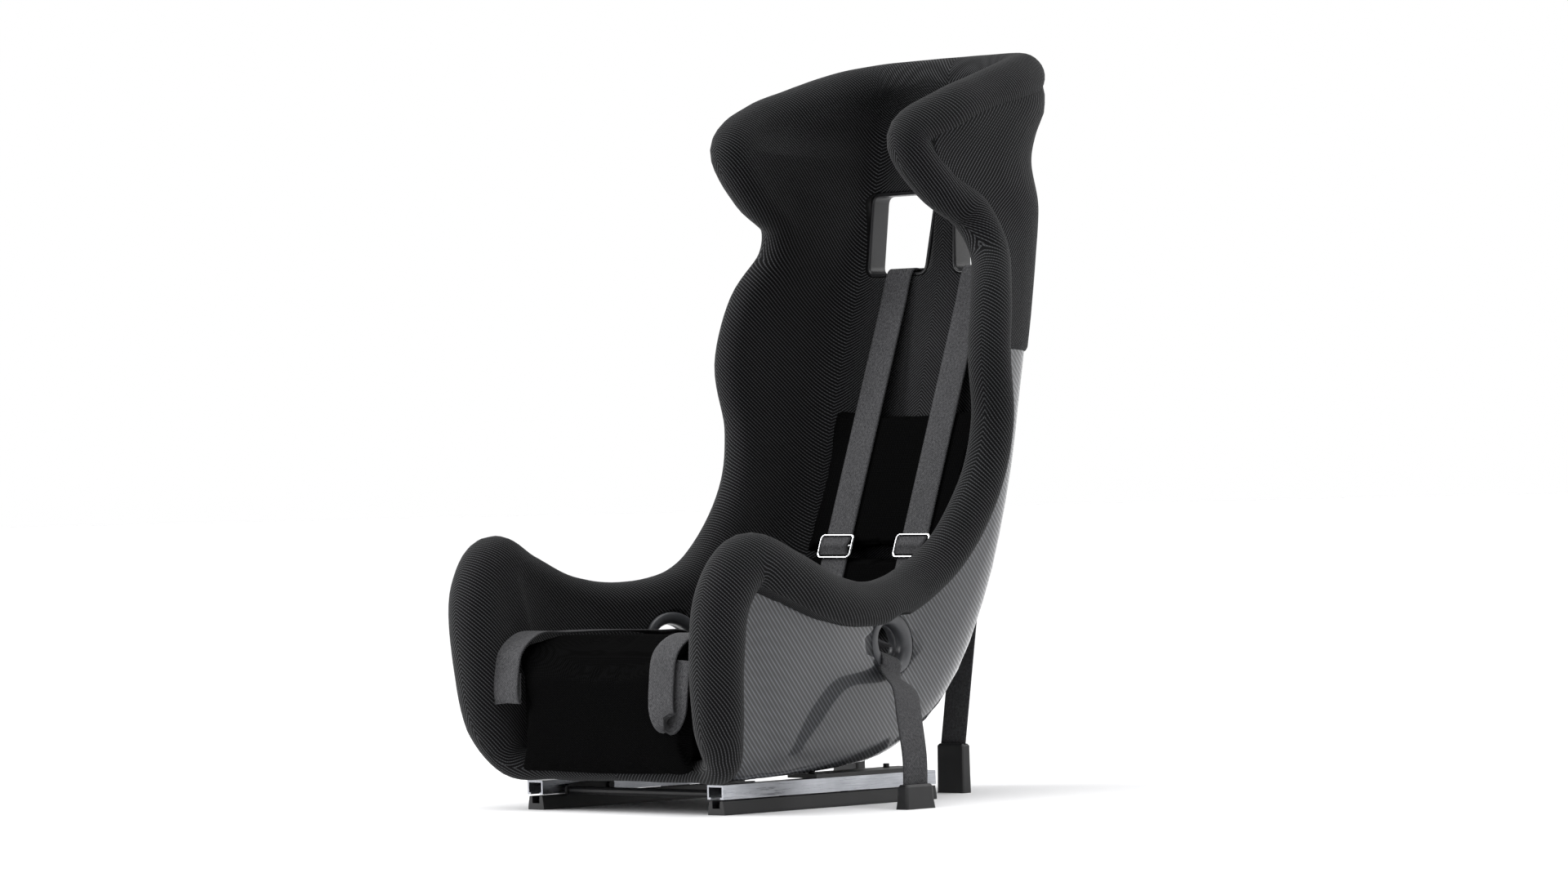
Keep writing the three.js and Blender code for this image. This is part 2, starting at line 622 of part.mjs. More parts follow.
// a slider block hangs from the upper rail's lips and runs in the lower rail's channel
const sliderPlay = 0.5;
const sliderLength = 40;
const sliderPlaces = { front: -165, rear: -55 };
function sliderBlock(y) {
  const stem = channelWidth / 2 - sliderPlay;
  const wing = upperHalf - upperWall - sliderPlay;
  return extrudedAlongY(mirrorOutline([
    [stem, channelFloor + sliderPlay],
    [stem, upperBase + upperWall + fit],
    [wing, upperBase + upperWall + fit],
    [wing, upperTop - upperWall - fit],
  ]), y - sliderLength / 2, y + sliderLength / 2).translate([railSpread, 0, 0]);
}

// floor bolts at the ends of the lower rail
const boltPlaces = { front: railFront + 11, rear: railRear - 11 };
const boltHead = 5;
function boltProfile(headRadius, headHeight, shankRadius, shankLength) {
  return [
    [0, -shankLength], [shankRadius, -shankLength], [shankRadius, 0],
    [headRadius, 0], [headRadius, headHeight - 1], [headRadius - 1, headHeight], [0, headHeight],
  ].map(([x, y]) => new THREE.Vector2(x, y));
}
function bolt(at, up, headRadius, headHeight, shankRadius, shankLength) {
  const geometry = new THREE.LatheGeometry(boltProfile(headRadius, headHeight, shankRadius, shankLength), 8);
  geometry.applyQuaternion(new THREE.Quaternion().setFromUnitVectors(vec(0, 1, 0), up));
  geometry.translate(at.x, at.y, at.z);
  return toSolid(geometry);
}
let lowerRailBored = lowerRail;
for (const [place, y] of Object.entries(boltPlaces)) {
  const hole = rodSolid(vec(railSpread, y, -1), vec(railSpread, y, channelFloor + 1), boltRadius - 1 + fit);
  lowerRailBored = lowerRailBored.subtract(hole);
  const seat = vec(railSpread, y, channelFloor + fit);
  addPair(`floor_bolt_${place}`, bolt(seat, vec(0, 0, 1), boltRadius, boltHead, boltRadius - 1, channelFloor - 1), 'steel');
}
addPair('lower_rail', lowerRailBored, 'steel');
addPair('upper_rail', upperRail, 'aluminium');
for (const [place, y] of Object.entries(sliderPlaces)) addPair(`slider_${place}`, sliderBlock(y), 'plastic');

// the seat bracket lies on the upper rail and is bolted up into the shell
const bracket = { front: -138, rear: 62, inner: 122, thick: 5 };
const bracketBolts = { front: -105, rear: 30 };
const bracketFlange = boxSolid(
  bracket.inner, railSpread + upperHalf, bracket.front, bracket.rear, upperTop + fit, upperTop + fit + bracket.thick);
let seatBracket = largest(bracketFlange.subtract(shellRoom));
for (const [place, y] of Object.entries(bracketBolts)) {
  const x = bracket.inner + 10;
  const head = vec(x, y, upperTop);
  seatBracket = seatBracket.subtract(rodSolid(vec(x, y, upperTop - 9), vec(x, y, upperTop + 12), 4 + fit));
  const clearance = rodSolid(vec(x, y, upperTop - 9), vec(x, y, upperTop + 14), 4 + fit);
  shell = shell.subtract(clearance).subtract(flipX(clearance));
  addPair(`bracket_bolt_${place}`, bolt(head, vec(0, 0, -1), 6.5, 5, 4, 10), 'steel');
}
addPair('seat_bracket', seatBracket, 'steel');

// release bar under the thighs, on two pivot pins with torsion springs
const release = { y: -262, z: 23, radius: 5, half: 138, pivotY: -196, pivotZ: 27, armWide: 4, pinRadius: 3.5 };
const armInner = release.half - release.armWide;
const barRod = rodSolid(vec(-armInner - 1, release.y, release.z), vec(armInner + 1, release.y, release.z), release.radius);
const armShape = roundedShape([
  [release.y - 8, release.z - 7], [release.pivotY + 9, release.pivotZ - 8],
  [release.pivotY + 9, release.pivotZ + 8], [release.y - 8, release.z + 7],
].map(([y, z]) => new THREE.Vector2(y, z)), 6);
const acrossX = (x) => new THREE.Matrix4().makeBasis(vec(0, 1, 0), vec(0, 0, 1), vec(1, 0, 0)).setPosition(x, 0, 0);
const pinHole = rodSolid(
  vec(armInner - 2, release.pivotY, release.pivotZ), vec(release.half + 2, release.pivotY, release.pivotZ),
  release.pinRadius + fit);
const arm = placed(prism(armShape, release.armWide, 3), acrossX(armInner)).subtract(pinHole);
addPart('release_bar', barRod.add(arm).add(flipX(arm)), 'steel');
const pinReach = railSpread - upperHalf - fit;
addPair('release_pin', rodSolid(
  vec(armInner - 3, release.pivotY, release.pivotZ), vec(pinReach, release.pivotY, release.pivotZ), release.pinRadius), 'steel');
const springCoils = 3;
const springOuter = 6;
const springSpan = pinReach - release.half - 2 * fit;
const springOutline = [];
for (let i = 0; i <= springCoils; i++) {
  springOutline.push([springOuter - 1.2, (i / springCoils) * springSpan]);
  if (i < springCoils) springOutline.push([springOuter, ((i + 0.5) / springCoils) * springSpan]);
}
const springPoints = [
  ...springOutline, [release.pinRadius + fit, springSpan], [release.pinRadius + fit, 0], springOutline[0],
].map(([x, y]) => new THREE.Vector2(x, y));
const springGeometry = new THREE.LatheGeometry(springPoints, 8);
springGeometry.applyQuaternion(new THREE.Quaternion().setFromUnitVectors(vec(0, 1, 0), vec(1, 0, 0)));
springGeometry.translate(release.half + fit, release.pivotY, release.pivotZ);
addPair('release_spring', toSolid(springGeometry), 'chrome');

// ---------- floor anchors ----------
function anchorBlock(at, taper) {
  const half = (w, l) => roundedShape([[-w, -l], [w, -l], [w, l], [-w, l]].map(([x, y]) => new THREE.Vector2(x, y)), 3);
  const rings = [
    [0, taper], [at.height * 0.35, taper * 0.4], [at.height - 3, 0], [at.height, -2],
  ].map(([z, grow]) => half(at.width / 2 + grow, at.length / 2 + grow).getPoints(2).map((p) => vec(at.x + p.x, at.y + p.y, z)));
  return ringStack(rings);
}

// rings of equal point counts stacked into a closed solid
function ringStack(rings) {
  const rows = rings.map((ring) => {
    const last = ring[ring.length - 1];
    return last.distanceTo(ring[0]) < 1e-6 ? ring.slice(0, -1) : ring;
  });
  return gridSolid(rows, { loopColumns: true, capFirst: true, capLast: true });
}
addPair('lap_anchor', anchorBlock(lapAnchor, 2), 'steel');
addPair('rear_anchor', anchorBlock(rearAnchor, 0.5), 'steel');

// ---------- harness ----------
const endGap = 1.6;              // between the square ends of two belts, or a belt and its anchor
const sillGap = 3.9;             // the belt's middle line above the sill and off its faces
const slotSill = slotBottom + bezelWall + sillGap;
const turn = 7;
const beltPoint = (z) => vec(beltSpread, beltDepth(z), z);
const frontBeltEnd = 236;
const straightAcross = (count) => Array(count).fill(0).map(() => vec(1, 0, 0));
const frontBeltLine = [
  vec(beltSpread, sillRear + sillGap, slotSill - 4 * turn),
  vec(beltSpread, sillRear + sillGap, slotSill - turn),
  vec(beltSpread, sillRear - turn / 4, slotSill),
  vec(beltSpread, (sillRear + sillFront) / 2, slotSill),
  vec(beltSpread, sillFront + turn / 4, slotSill),
  vec(beltSpread, sillFront - sillGap, slotSill - turn),
  beltPoint(slotBottom - 40), beltPoint(500), beltPoint(hang.z), beltPoint(frontBeltEnd),
];
addPair('shoulder_belt_front', webbing(frontBeltLine, straightAcross(frontBeltLine.length), 30), 'webbing');

const rearTop = frontBeltLine[0].clone().add(vec(0, 0, -endGap));
const rearFoot = vec(rearAnchor.x, rearAnchor.y, rearAnchor.height + endGap);
const rearAt = (share) => rearTop.clone().lerp(rearFoot, share);
const rearBeltLine = [0, 0.25, 0.5, 0.75, 1].map(rearAt);
addPair('shoulder_belt_rear', webbing(rearBeltLine, straightAcross(5), 12, webbingWidth - 3), 'webbing');

// three-bar adjusters: a wire frame with a bar across its middle
const adjusterFrame = { wide: 60, long: 34, wire: 4, deep: 3.6 };
function adjuster(centre, along, out, size) {
  const outline = (w, l, r) => roundedShape(
    [[-w, -l], [w, -l], [w, l], [-w, l]].map(([x, y]) => new THREE.Vector2(x, y)), r);
  const shape = outline(size.wide / 2, size.long / 2, 5);
  const window = (size.long - 3 * size.wire) / 2;
  for (const side of [-1, 1]) {
    const hole = roundedShape([
      [-size.wide / 2 + size.wire, side * (size.wire / 2)], [size.wide / 2 - size.wire, side * (size.wire / 2)],
      [size.wide / 2 - size.wire, side * (size.wire / 2 + window)], [-size.wide / 2 + size.wire, side * (size.wire / 2 + window)],
    ].map(([x, y]) => new THREE.Vector2(x, y)), 2);
    shape.holes.push(hole);
  }
  const across = along.clone().cross(out).normalize();
  const basis = new THREE.Matrix4().makeBasis(across, along, out);
  const matrix = new THREE.Matrix4().makeTranslation(centre.x, centre.y, centre.z).multiply(basis);
  return placed(prism(shape, size.deep, 2), matrix);
}
const beltAlong = vec(0, beltSlope, 1).normalize();
const beltOut = vec(0, -1, beltSlope).normalize();
const frontAdjusterAt = beltPoint(316).addScaledVector(beltOut, webbingThick / 2 + fit);
addPair('front_adjuster', adjuster(frontAdjusterAt, beltAlong, beltOut, adjusterFrame), 'chrome');

const rearAlong = rearTop.clone().sub(rearFoot).normalize();
const rearOut = vec(0, 1, 0).addScaledVector(rearAlong, -rearAlong.y).normalize();
const rearAdjusterAt = rearAt(0.635).addScaledVector(rearOut, webbingThick / 2 + fit);
const rearAdjusterFrame = { ...adjusterFrame, wide: 54 };
addPair('rear_adjuster', adjuster(rearAdjusterAt, rearAlong, rearOut, rearAdjusterFrame), 'chrome');

// lap belts: the outer leg runs from the floor anchor to the grommet, the inner one lies over the cushion
const holeMatrix = grommetMatrix(-wallThick / 2);
const holeAt = (along, rise, out) => vec(along, rise, out).applyMatrix4(holeMatrix);
const holeLong = holeAt(-1, 0, 0).sub(holeAt(0, 0, 0));      // rearwards and up
const lapFoot = vec(lapAnchor.x, lapAnchor.y, lapAnchor.height + endGap);
const lapRise = lapFoot.clone().add(vec(0, 0, 26));
const lapEntry = holeAt(0, -3, wallThick / 2 + 12);
const lapVia = (share, bulgeX, bulgeY) => lapRise.clone().lerp(lapEntry, share).add(vec(bulgeX, bulgeY, 0));
const lapOuterLine = [
  lapFoot, lapRise, lapVia(0.4, 9, -8), lapVia(0.74, 6, -6), lapEntry, holeAt(0, -2, endGap),
];
const lapOuterAcross = [
  vec(0, 1, 0), vec(0, 1, 0), vec(0, 1, 0.06), vec(0, 1, 0.2), holeLong, holeLong,
];
addPair('lap_belt_outer', webbing(lapOuterLine, lapOuterAcross, 18, webbingWidth - 2), 'webbing');

const cushionTop = (y) => (y < -120
  ? THREE.MathUtils.mapLinear(y, cushionFront + cushionRound, -120, seatCushionTop, seatCushionTop - 6)
  : THREE.MathUtils.mapLinear(y, -120, 40, seatCushionTop - 6, seatCushionRear));
const lie = 3;                   // a belt's middle line above what it lies on
const holeStart = [holeAt(0, -2, -endGap), holeAt(0, 0, -wallThick / 2 - 10)];
const onCushion = (x, y, lift = 0) => vec(x, y, cushionTop(y) + lie + lift);
const hangStart = (x) => [
  vec(x, cushionFront + 24, seatCushionTop + lie), vec(x, cushionFront - 1, seatCushionTop - 20),
];
const lapLeftLine = [
  ...holeStart, vec(146, -66, 209), onCushion(139, -120, 1), onCushion(132, -200), onCushion(127, -270),
  ...hangStart(126), vec(125, cushionFront - 5, 165), vec(124, cushionFront - 7, 114),
];
const lapRightLine = [
  ...holeStart, vec(147, -72, 211), onCushion(140, -120, 3), onCushion(137, -200, 1), onCushion(137, -270),
  ...hangStart(138), vec(139, cushionFront - 5, 172), vec(139, cushionFront - 7, 138),
];
const lapInnerAcross = [
  holeLong, holeLong, vec(-0.75, 0.65, 0.1), vec(-1, 0.2, 0), ...Array(6).fill(0).map(() => vec(-1, 0, 0)),
];
addPart('lap_belt_inner_left', webbing(lapLeftLine, lapInnerAcross, 34, webbingWidth - 2), 'webbing');
addPart('lap_belt_inner_right', flipX(webbing(lapRightLine, lapInnerAcross, 34, webbingWidth - 2)), 'webbing');

addPart('shell', shell, 'carbon');
addPart('upholstery_cover', largest(cover), 'fabric');
addPart('head_cap_cover', cap, 'fabric');
addPair('slot_bezel', slotBezel, 'plastic');
addPair('lap_grommet_outer', grommetOuterRing, 'plastic');
addPair('lap_grommet_inner', grommetInnerRing, 'plastic');

export default group;
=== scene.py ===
import math
import bpy
import bmesh
import numpy as np
from mathutils import Matrix, Vector, noise


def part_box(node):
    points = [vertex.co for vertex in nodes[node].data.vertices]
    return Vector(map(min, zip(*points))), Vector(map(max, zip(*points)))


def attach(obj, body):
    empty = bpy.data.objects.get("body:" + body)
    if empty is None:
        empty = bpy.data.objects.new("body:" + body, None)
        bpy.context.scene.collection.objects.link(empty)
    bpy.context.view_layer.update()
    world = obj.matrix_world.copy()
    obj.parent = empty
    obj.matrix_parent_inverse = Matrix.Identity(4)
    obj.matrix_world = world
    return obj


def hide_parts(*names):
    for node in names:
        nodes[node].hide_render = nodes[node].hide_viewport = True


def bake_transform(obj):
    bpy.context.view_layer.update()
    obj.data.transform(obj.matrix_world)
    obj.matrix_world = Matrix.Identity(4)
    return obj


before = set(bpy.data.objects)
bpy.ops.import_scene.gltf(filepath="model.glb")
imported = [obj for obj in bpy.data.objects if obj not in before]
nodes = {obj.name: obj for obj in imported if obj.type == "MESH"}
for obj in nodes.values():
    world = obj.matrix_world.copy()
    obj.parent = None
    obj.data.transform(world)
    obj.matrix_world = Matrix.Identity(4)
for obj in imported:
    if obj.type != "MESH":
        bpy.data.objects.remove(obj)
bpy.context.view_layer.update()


def toMetres(point):
    return Vector(point) / 1000


def linearColour(hexValue):
    # sRGB hex to the linear values that the shaders expect
    channels = [int(hexValue[i:i + 2], 16) / 255 for i in (1, 3, 5)]
    return [c / 12.92 if c <= 0.04045 else ((c + 0.055) / 1.055) ** 2.4 for c in channels] + [1.0]


def deselectAll():
    if bpy.context.object and bpy.context.object.mode != "OBJECT":
        bpy.ops.object.mode_set(mode="OBJECT")
    bpy.ops.object.select_all(action="DESELECT")


def makeActive(piece):
    deselectAll()
    piece.select_set(True)
    bpy.context.view_layer.objects.active = piece


def applyPlace(piece):
    makeActive(piece)
    bpy.ops.object.transform_apply(location=True, rotation=True, scale=True)


def applyModifiers(piece):
    makeActive(piece)
    for modifier in list(piece.modifiers):
        bpy.ops.object.modifier_apply(modifier=modifier.name)


# camera
camera = {"azimuth": 44.0, "pitch": 0.29, "roll": -1.26, "lens": 142.0, "place": (5.4349, -5.6329, 0.4141)}
turn = math.radians(camera["azimuth"])
pitch = math.radians(camera["pitch"])
roll = math.radians(camera["roll"])
lookRight = Vector((math.cos(turn), math.sin(turn), 0))
lookAhead = Vector((-math.sin(turn) * math.cos(pitch), math.cos(turn) * math.cos(pitch), math.sin(pitch)))
lookUp = lookRight.cross(lookAhead)
cameraX = lookRight * math.cos(roll) + lookUp * math.sin(roll)
cameraY = lookUp * math.cos(roll) - lookRight * math.sin(roll)
cameraData = bpy.data.cameras.new("studioCamera")
cameraData.lens = camera["lens"]
cameraData.sensor_width = 36
cameraData.clip_end = 200
cameraObject = bpy.data.objects.new("studioCamera", cameraData)
bpy.context.collection.objects.link(cameraObject)
cameraObject.matrix_world = Matrix((
    (cameraX.x, cameraY.x, -lookAhead.x, camera["place"][0]),
    (cameraX.y, cameraY.y, -lookAhead.y, camera["place"][1]),
    (cameraX.z, cameraY.z, -lookAhead.z, camera["place"][2]),
    (0, 0, 0, 1),
))
bpy.context.scene.camera = cameraObject
print("camera placed")


# materials
def newMaterial(name, base, roughness, metallic=0.0, **sockets):
    material = bpy.data.materials.new(name)
    material.use_nodes = True
    shader = material.node_tree.nodes["Principled BSDF"]
    shader.inputs["Base Color"].default_value = linearColour(base)
    shader.inputs["Roughness"].default_value = roughness
    shader.inputs["Metallic"].default_value = metallic
    for socket, value in sockets.items():
        shader.inputs[socket.replace("_", " ")].default_value = value
    return material


def addNode(material, kind, links=None, values=None, **settings):
    # one node with its settings; links and values name its input sockets
    node = material.node_tree.nodes.new("ShaderNode" + kind)
    for key, value in settings.items():
        setattr(node, key, value)
    for socket, source in (links or {}).items():
        material.node_tree.links.new(source, node.inputs[socket])
    for socket, value in (values or {}).items():
        node.inputs[socket].default_value = value
    return node


def feedShader(material, socket, source):
    shader = material.node_tree.nodes["Principled BSDF"]
    material.node_tree.links.new(source, shader.inputs[socket])


def diagonalLines(material, along, across, spacing, sharp):
    # bright lines at 45 degrees to two coordinates, one every spacing, as values from 0 to 1
    both = addNode(material, "Math", {0: along, 1: across}, operation="ADD")
    turns = addNode(material, "Math", {0: both.outputs[0]}, {1: math.tau / (spacing * math.sqrt(2))},
                    operation="MULTIPLY")
    wave = addNode(material, "Math", {0: turns.outputs[0]}, operation="SINE")
    return addNode(material, "MapRange", {"Value": wave.outputs[0]},
                   {"From Min": 1 - sharp, "From Max": 1.0}, interpolation_type="SMOOTHSTEP")


def uvAxes(material, name):
    uv = addNode(material, "UVMap", uv_map=name)
    return addNode(material, "SeparateXYZ", {0: uv.outputs[0]})


def objectAxes(material):
    place = addNode(material, "TexCoord")
    return place, addNode(material, "SeparateXYZ", {0: place.outputs["Object"]})


# black polyester twill, piece-dyed, woven with paler threads: the eye gets fine broken diagonals
# that turn into a herringbone along the seams. Threads are drawn 3.8 mm apart so that they show.
twill = {"ground": "#040405", "thread": "#444547", "spacing": 0.0038, "dash": 0.0044}


def makeTwill():
    m = newMaterial("wovenTwillCloth", twill["ground"], 0.92, Sheen_Weight=0.06, Sheen_Roughness=0.5,
                    Specular_IOR_Level=0.12)
    axes = uvAxes(m, "weave")
    lines = diagonalLines(m, axes.outputs["X"], axes.outputs["Y"], twill["spacing"], 0.9)
    less = addNode(m, "Math", {0: axes.outputs["X"], 1: axes.outputs["Y"]}, operation="SUBTRACT")
    beads = addNode(m, "Math", {0: less.outputs[0]}, {1: math.tau / twill["dash"]}, operation="MULTIPLY")
    beat = addNode(m, "Math", {0: beads.outputs[0]}, operation="SINE")
    gap = addNode(m, "MapRange", {"Value": beat.outputs[0]}, {"From Min": -1.0, "To Min": 0.45})
    thread = addNode(m, "Math", {0: lines.outputs[0], 1: gap.outputs[0]}, operation="MULTIPLY")
    place, _ = objectAxes(m)
    wear = addNode(m, "TexNoise", {"Vector": place.outputs["Object"]}, {"Scale": 9.0, "Detail": 3.0})
    faded = addNode(m, "MapRange", {"Value": wear.outputs[0]},
                    {"From Min": 0.3, "From Max": 0.7, "To Min": 0.72, "To Max": 1.0})
    amount = addNode(m, "Math", {0: thread.outputs[0], 1: faded.outputs[0]}, operation="MULTIPLY")
    tint = addNode(m, "Mix", {0: amount.outputs[0]}, data_type="RGBA")
    tint.inputs[6].default_value = linearColour(twill["ground"])
    tint.inputs[7].default_value = linearColour(twill["thread"])
    feedShader(m, "Base Color", tint.outputs[2])
    rough = addNode(m, "MapRange", {"Value": thread.outputs[0]}, {"To Min": 0.97, "To Max": 0.72})
    feedShader(m, "Roughness", rough.outputs[0])
    bump = addNode(m, "Bump", {"Height": thread.outputs[0]}, {"Strength": 0.7, "Distance": 0.0006})
    feedShader(m, "Normal", bump.outputs[0])
    return m


# flame-resistant knit of the loose cushions, jersey faced: nearly black with tiny soft loops
knit = {"ground": "#030303", "loop": "#131314", "pitch": 0.0030}


def makeKnit():
    m = newMaterial("jerseyKnitCloth", knit["ground"], 1.0, Sheen_Weight=0.0, Specular_IOR_Level=0.02)
    place, axes = objectAxes(m)
    drop = addNode(m, "Math", {0: axes.outputs["Z"], 1: axes.outputs["Y"]}, operation="SUBTRACT")
    rowWave = addNode(m, "Math", {0: drop.outputs[0]}, {1: math.tau / knit["pitch"]}, operation="MULTIPLY")
    columnWave = addNode(m, "Math", {0: axes.outputs["X"]}, {1: math.tau / knit["pitch"]},
                         operation="MULTIPLY")
    rows = addNode(m, "Math", {0: rowWave.outputs[0]}, operation="SINE")
    columns = addNode(m, "Math", {0: columnWave.outputs[0]}, operation="SINE")
    loops = addNode(m, "Math", {0: rows.outputs[0], 1: columns.outputs[0]}, operation="MULTIPLY")
    fuzz = addNode(m, "TexNoise", {"Vector": place.outputs["Object"]}, {"Scale": 420.0, "Detail": 2.0})
    both = addNode(m, "Math", {0: loops.outputs[0], 1: fuzz.outputs[0]}, operation="MULTIPLY")
    amount = addNode(m, "MapRange", {"Value": both.outputs[0]},
                     {"From Min": 0.0, "From Max": 0.6, "To Max": 0.8})
    tint = addNode(m, "Mix", {0: amount.outputs[0]}, data_type="RGBA")
    tint.inputs[6].default_value = linearColour(knit["ground"])
    tint.inputs[7].default_value = linearColour(knit["loop"])
    feedShader(m, "Base Color", tint.outputs[2])
    bump = addNode(m, "Bump", {"Height": both.outputs[0]}, {"Strength": 0.8, "Distance": 0.0007})
    feedShader(m, "Normal", bump.outputs[0])
    return m


# polyester harness webbing, plain weave of spun yarn: heathered mid grey, faint ribs, darker selvedge
belt = {"dark": "#1f1f21", "pale": "#5e5e60", "rib": 0.0024, "half": 0.0225, "edge": 0.0024}


def makeWebbing():
    m = newMaterial("wovenHarnessWebbing", belt["dark"], 0.85, Sheen_Weight=0.08, Sheen_Roughness=0.4,
                    Specular_IOR_Level=0.2)
    axes = uvAxes(m, "weave")
    uv = addNode(m, "UVMap", uv_map="weave")
    heather = addNode(m, "TexNoise", {"Vector": uv.outputs[0]},
                      {"Scale": 330.0, "Detail": 4.0, "Roughness": 0.75})
    clouds = addNode(m, "TexNoise", {"Vector": uv.outputs[0]}, {"Scale": 45.0, "Detail": 2.0})
    lines = diagonalLines(m, axes.outputs["X"], axes.outputs["Y"], belt["rib"], 1.6)
    ribs = addNode(m, "MapRange", {"Value": lines.outputs[0]}, {"To Min": 0.72, "To Max": 1.0})
    spun = addNode(m, "MapRange", {"Value": heather.outputs[0]}, {"From Min": 0.3, "From Max": 0.75})
    mixed = addNode(m, "Math", {0: spun.outputs[0], 1: ribs.outputs[0]}, operation="MULTIPLY")
    worn = addNode(m, "MapRange", {"Value": clouds.outputs[0]},
                   {"From Min": 0.3, "From Max": 0.7, "To Min": 0.8})
    shade = addNode(m, "Math", {0: mixed.outputs[0], 1: worn.outputs[0]}, operation="MULTIPLY")
    side = addNode(m, "Math", {0: axes.outputs["Y"]}, operation="ABSOLUTE")
    selvedge = addNode(m, "MapRange", {"Value": side.outputs[0]}, {
        "From Min": belt["half"] - belt["edge"], "From Max": belt["half"] + 0.001 - belt["edge"],
        "To Min": 1.0, "To Max": 0.45})
    amount = addNode(m, "Math", {0: shade.outputs[0], 1: selvedge.outputs[0]}, operation="MULTIPLY")
    tint = addNode(m, "Mix", {0: amount.outputs[0]}, data_type="RGBA")
    tint.inputs[6].default_value = linearColour(belt["dark"])
    tint.inputs[7].default_value = linearColour(belt["pale"])
    feedShader(m, "Base Color", tint.outputs[2])
    height = addNode(m, "Math", {0: lines.outputs[0], 1: spun.outputs[0]}, operation="ADD")
    bump = addNode(m, "Bump", {"Height": height.outputs[0]}, {"Strength": 0.6, "Distance": 0.0004})
    feedShader(m, "Normal", bump.outputs[0])
    return m


# carbon and glass twill laid up wet and clear-coated: grey glossy sheet, fine slanting tows under the coat
carbon = {"tow": "#54565b", "gap": "#17181a", "spacing": 0.0050}


def makeCarbon():
    m = newMaterial("clearCoatedCarbonTwill", carbon["tow"], 0.38, 0.25, Coat_Weight=0.7, Coat_Roughness=0.06)
    place, axes = objectAxes(m)
    rise = addNode(m, "Math", {0: axes.outputs["Z"]}, {1: 0.8}, operation="MULTIPLY")
    run = addNode(m, "Math", {0: axes.outputs["Y"], 1: axes.outputs["X"]}, operation="ADD")
    lines = diagonalLines(m, run.outputs[0], rise.outputs[0], carbon["spacing"], 1.2)
    cross = addNode(m, "Math", {0: axes.outputs["Z"], 1: axes.outputs["Y"]}, operation="ADD")
    steps = addNode(m, "Math", {0: cross.outputs[0]}, {1: math.tau / 0.0055}, operation="MULTIPLY")
    tick = addNode(m, "Math", {0: steps.outputs[0]}, operation="SINE")
    broken = addNode(m, "MapRange", {"Value": tick.outputs[0]}, {"From Min": -1.0, "To Min": 0.75})
    tow = addNode(m, "Math", {0: lines.outputs[0], 1: broken.outputs[0]}, operation="MULTIPLY")
    tint = addNode(m, "Mix", {0: tow.outputs[0]}, data_type="RGBA")
    tint.inputs[6].default_value = linearColour(carbon["gap"])
    tint.inputs[7].default_value = linearColour(carbon["tow"])
    feedShader(m, "Base Color", tint.outputs[2])
    rough = addNode(m, "MapRange", {"Value": tow.outputs[0]}, {"To Min": 0.5, "To Max": 0.3})
    feedShader(m, "Roughness", rough.outputs[0])
    bump = addNode(m, "Bump", {"Height": tow.outputs[0]}, {"Strength": 0.15, "Distance": 0.0003})
    feedShader(m, "Normal", bump.outputs[0])
    return m


def makeGrained(name, base, worn, roughness, metallic, grain, streak=(1, 1, 1), depth=0.0001, **sockets):
    # a hard surface with its own grain: mottled colour, uneven gloss and a fine relief
    m = newMaterial(name, base, roughness, metallic, **sockets)
    place, _ = objectAxes(m)
    stretch = addNode(m, "Mapping", {"Vector": place.outputs["Object"]}, {"Scale": streak})
    fine = addNode(m, "TexNoise", {"Vector": stretch.outputs[0]}, {"Scale": 1 / grain, "Detail": 4.0})
    broad = addNode(m, "TexNoise", {"Vector": place.outputs["Object"]}, {"Scale": 22.0, "Detail": 3.0})
    both = addNode(m, "Math", {0: fine.outputs[0], 1: broad.outputs[0]}, operation="MULTIPLY")
    amount = addNode(m, "MapRange", {"Value": both.outputs[0]}, {"From Min": 0.12, "From Max": 0.42})
    tint = addNode(m, "Mix", {0: amount.outputs[0]}, data_type="RGBA")
    tint.inputs[6].default_value = linearColour(base)
    tint.inputs[7].default_value = linearColour(worn)
    feedShader(m, "Base Color", tint.outputs[2])
    rough = addNode(m, "MapRange", {"Value": fine.outputs[0]}, {
        "From Min": 0.3, "From Max": 0.7, "To Min": roughness * 0.8, "To Max": min(1.0, roughness * 1.25)})
    feedShader(m, "Roughness", rough.outputs[0])
    bump = addNode(m, "Bump", {"Height": fine.outputs[0]}, {"Strength": 0.5, "Distance": depth})
    feedShader(m, "Normal", bump.outputs[0])
    return m


twillCloth = makeTwill()
knitCloth = makeKnit()
webbingCloth = makeWebbing()
carbonShell = makeCarbon()
# powder-coated steel: black with a slight orange peel
powderSteel = makeGrained("powderCoatedSteel", "#0c0c0d", "#1b1b1d", 0.42, 0.0, 0.0012, depth=0.00015)
# clear-anodised rolled aluminium: satin with streaks along the rail
satinRail = makeGrained("anodisedRolledAluminium", "#9a9ca1", "#c3c5ca", 0.3, 1.0, 0.0016,
                        streak=(1, 0.04, 1))
# chromed drawn wire: bright mirror with dark reflections
chromeWire = makeGrained("chromedDrawnWire", "#b9bbbe", "#dcddde", 0.17, 1.0, 0.004, depth=0.00001)
# moulded glass-filled nylon: grey-black with a fine spark grain and soft highlights
mouldedNylon = makeGrained("mouldedNylon", "#36373a", "#4a4b4e", 0.42, 0.0, 0.0009, depth=0.00012)
darkNylon = makeGrained("mouldedAcetal", "#101012", "#1d1d1f", 0.4, 0.0, 0.0009)
print("materials made")


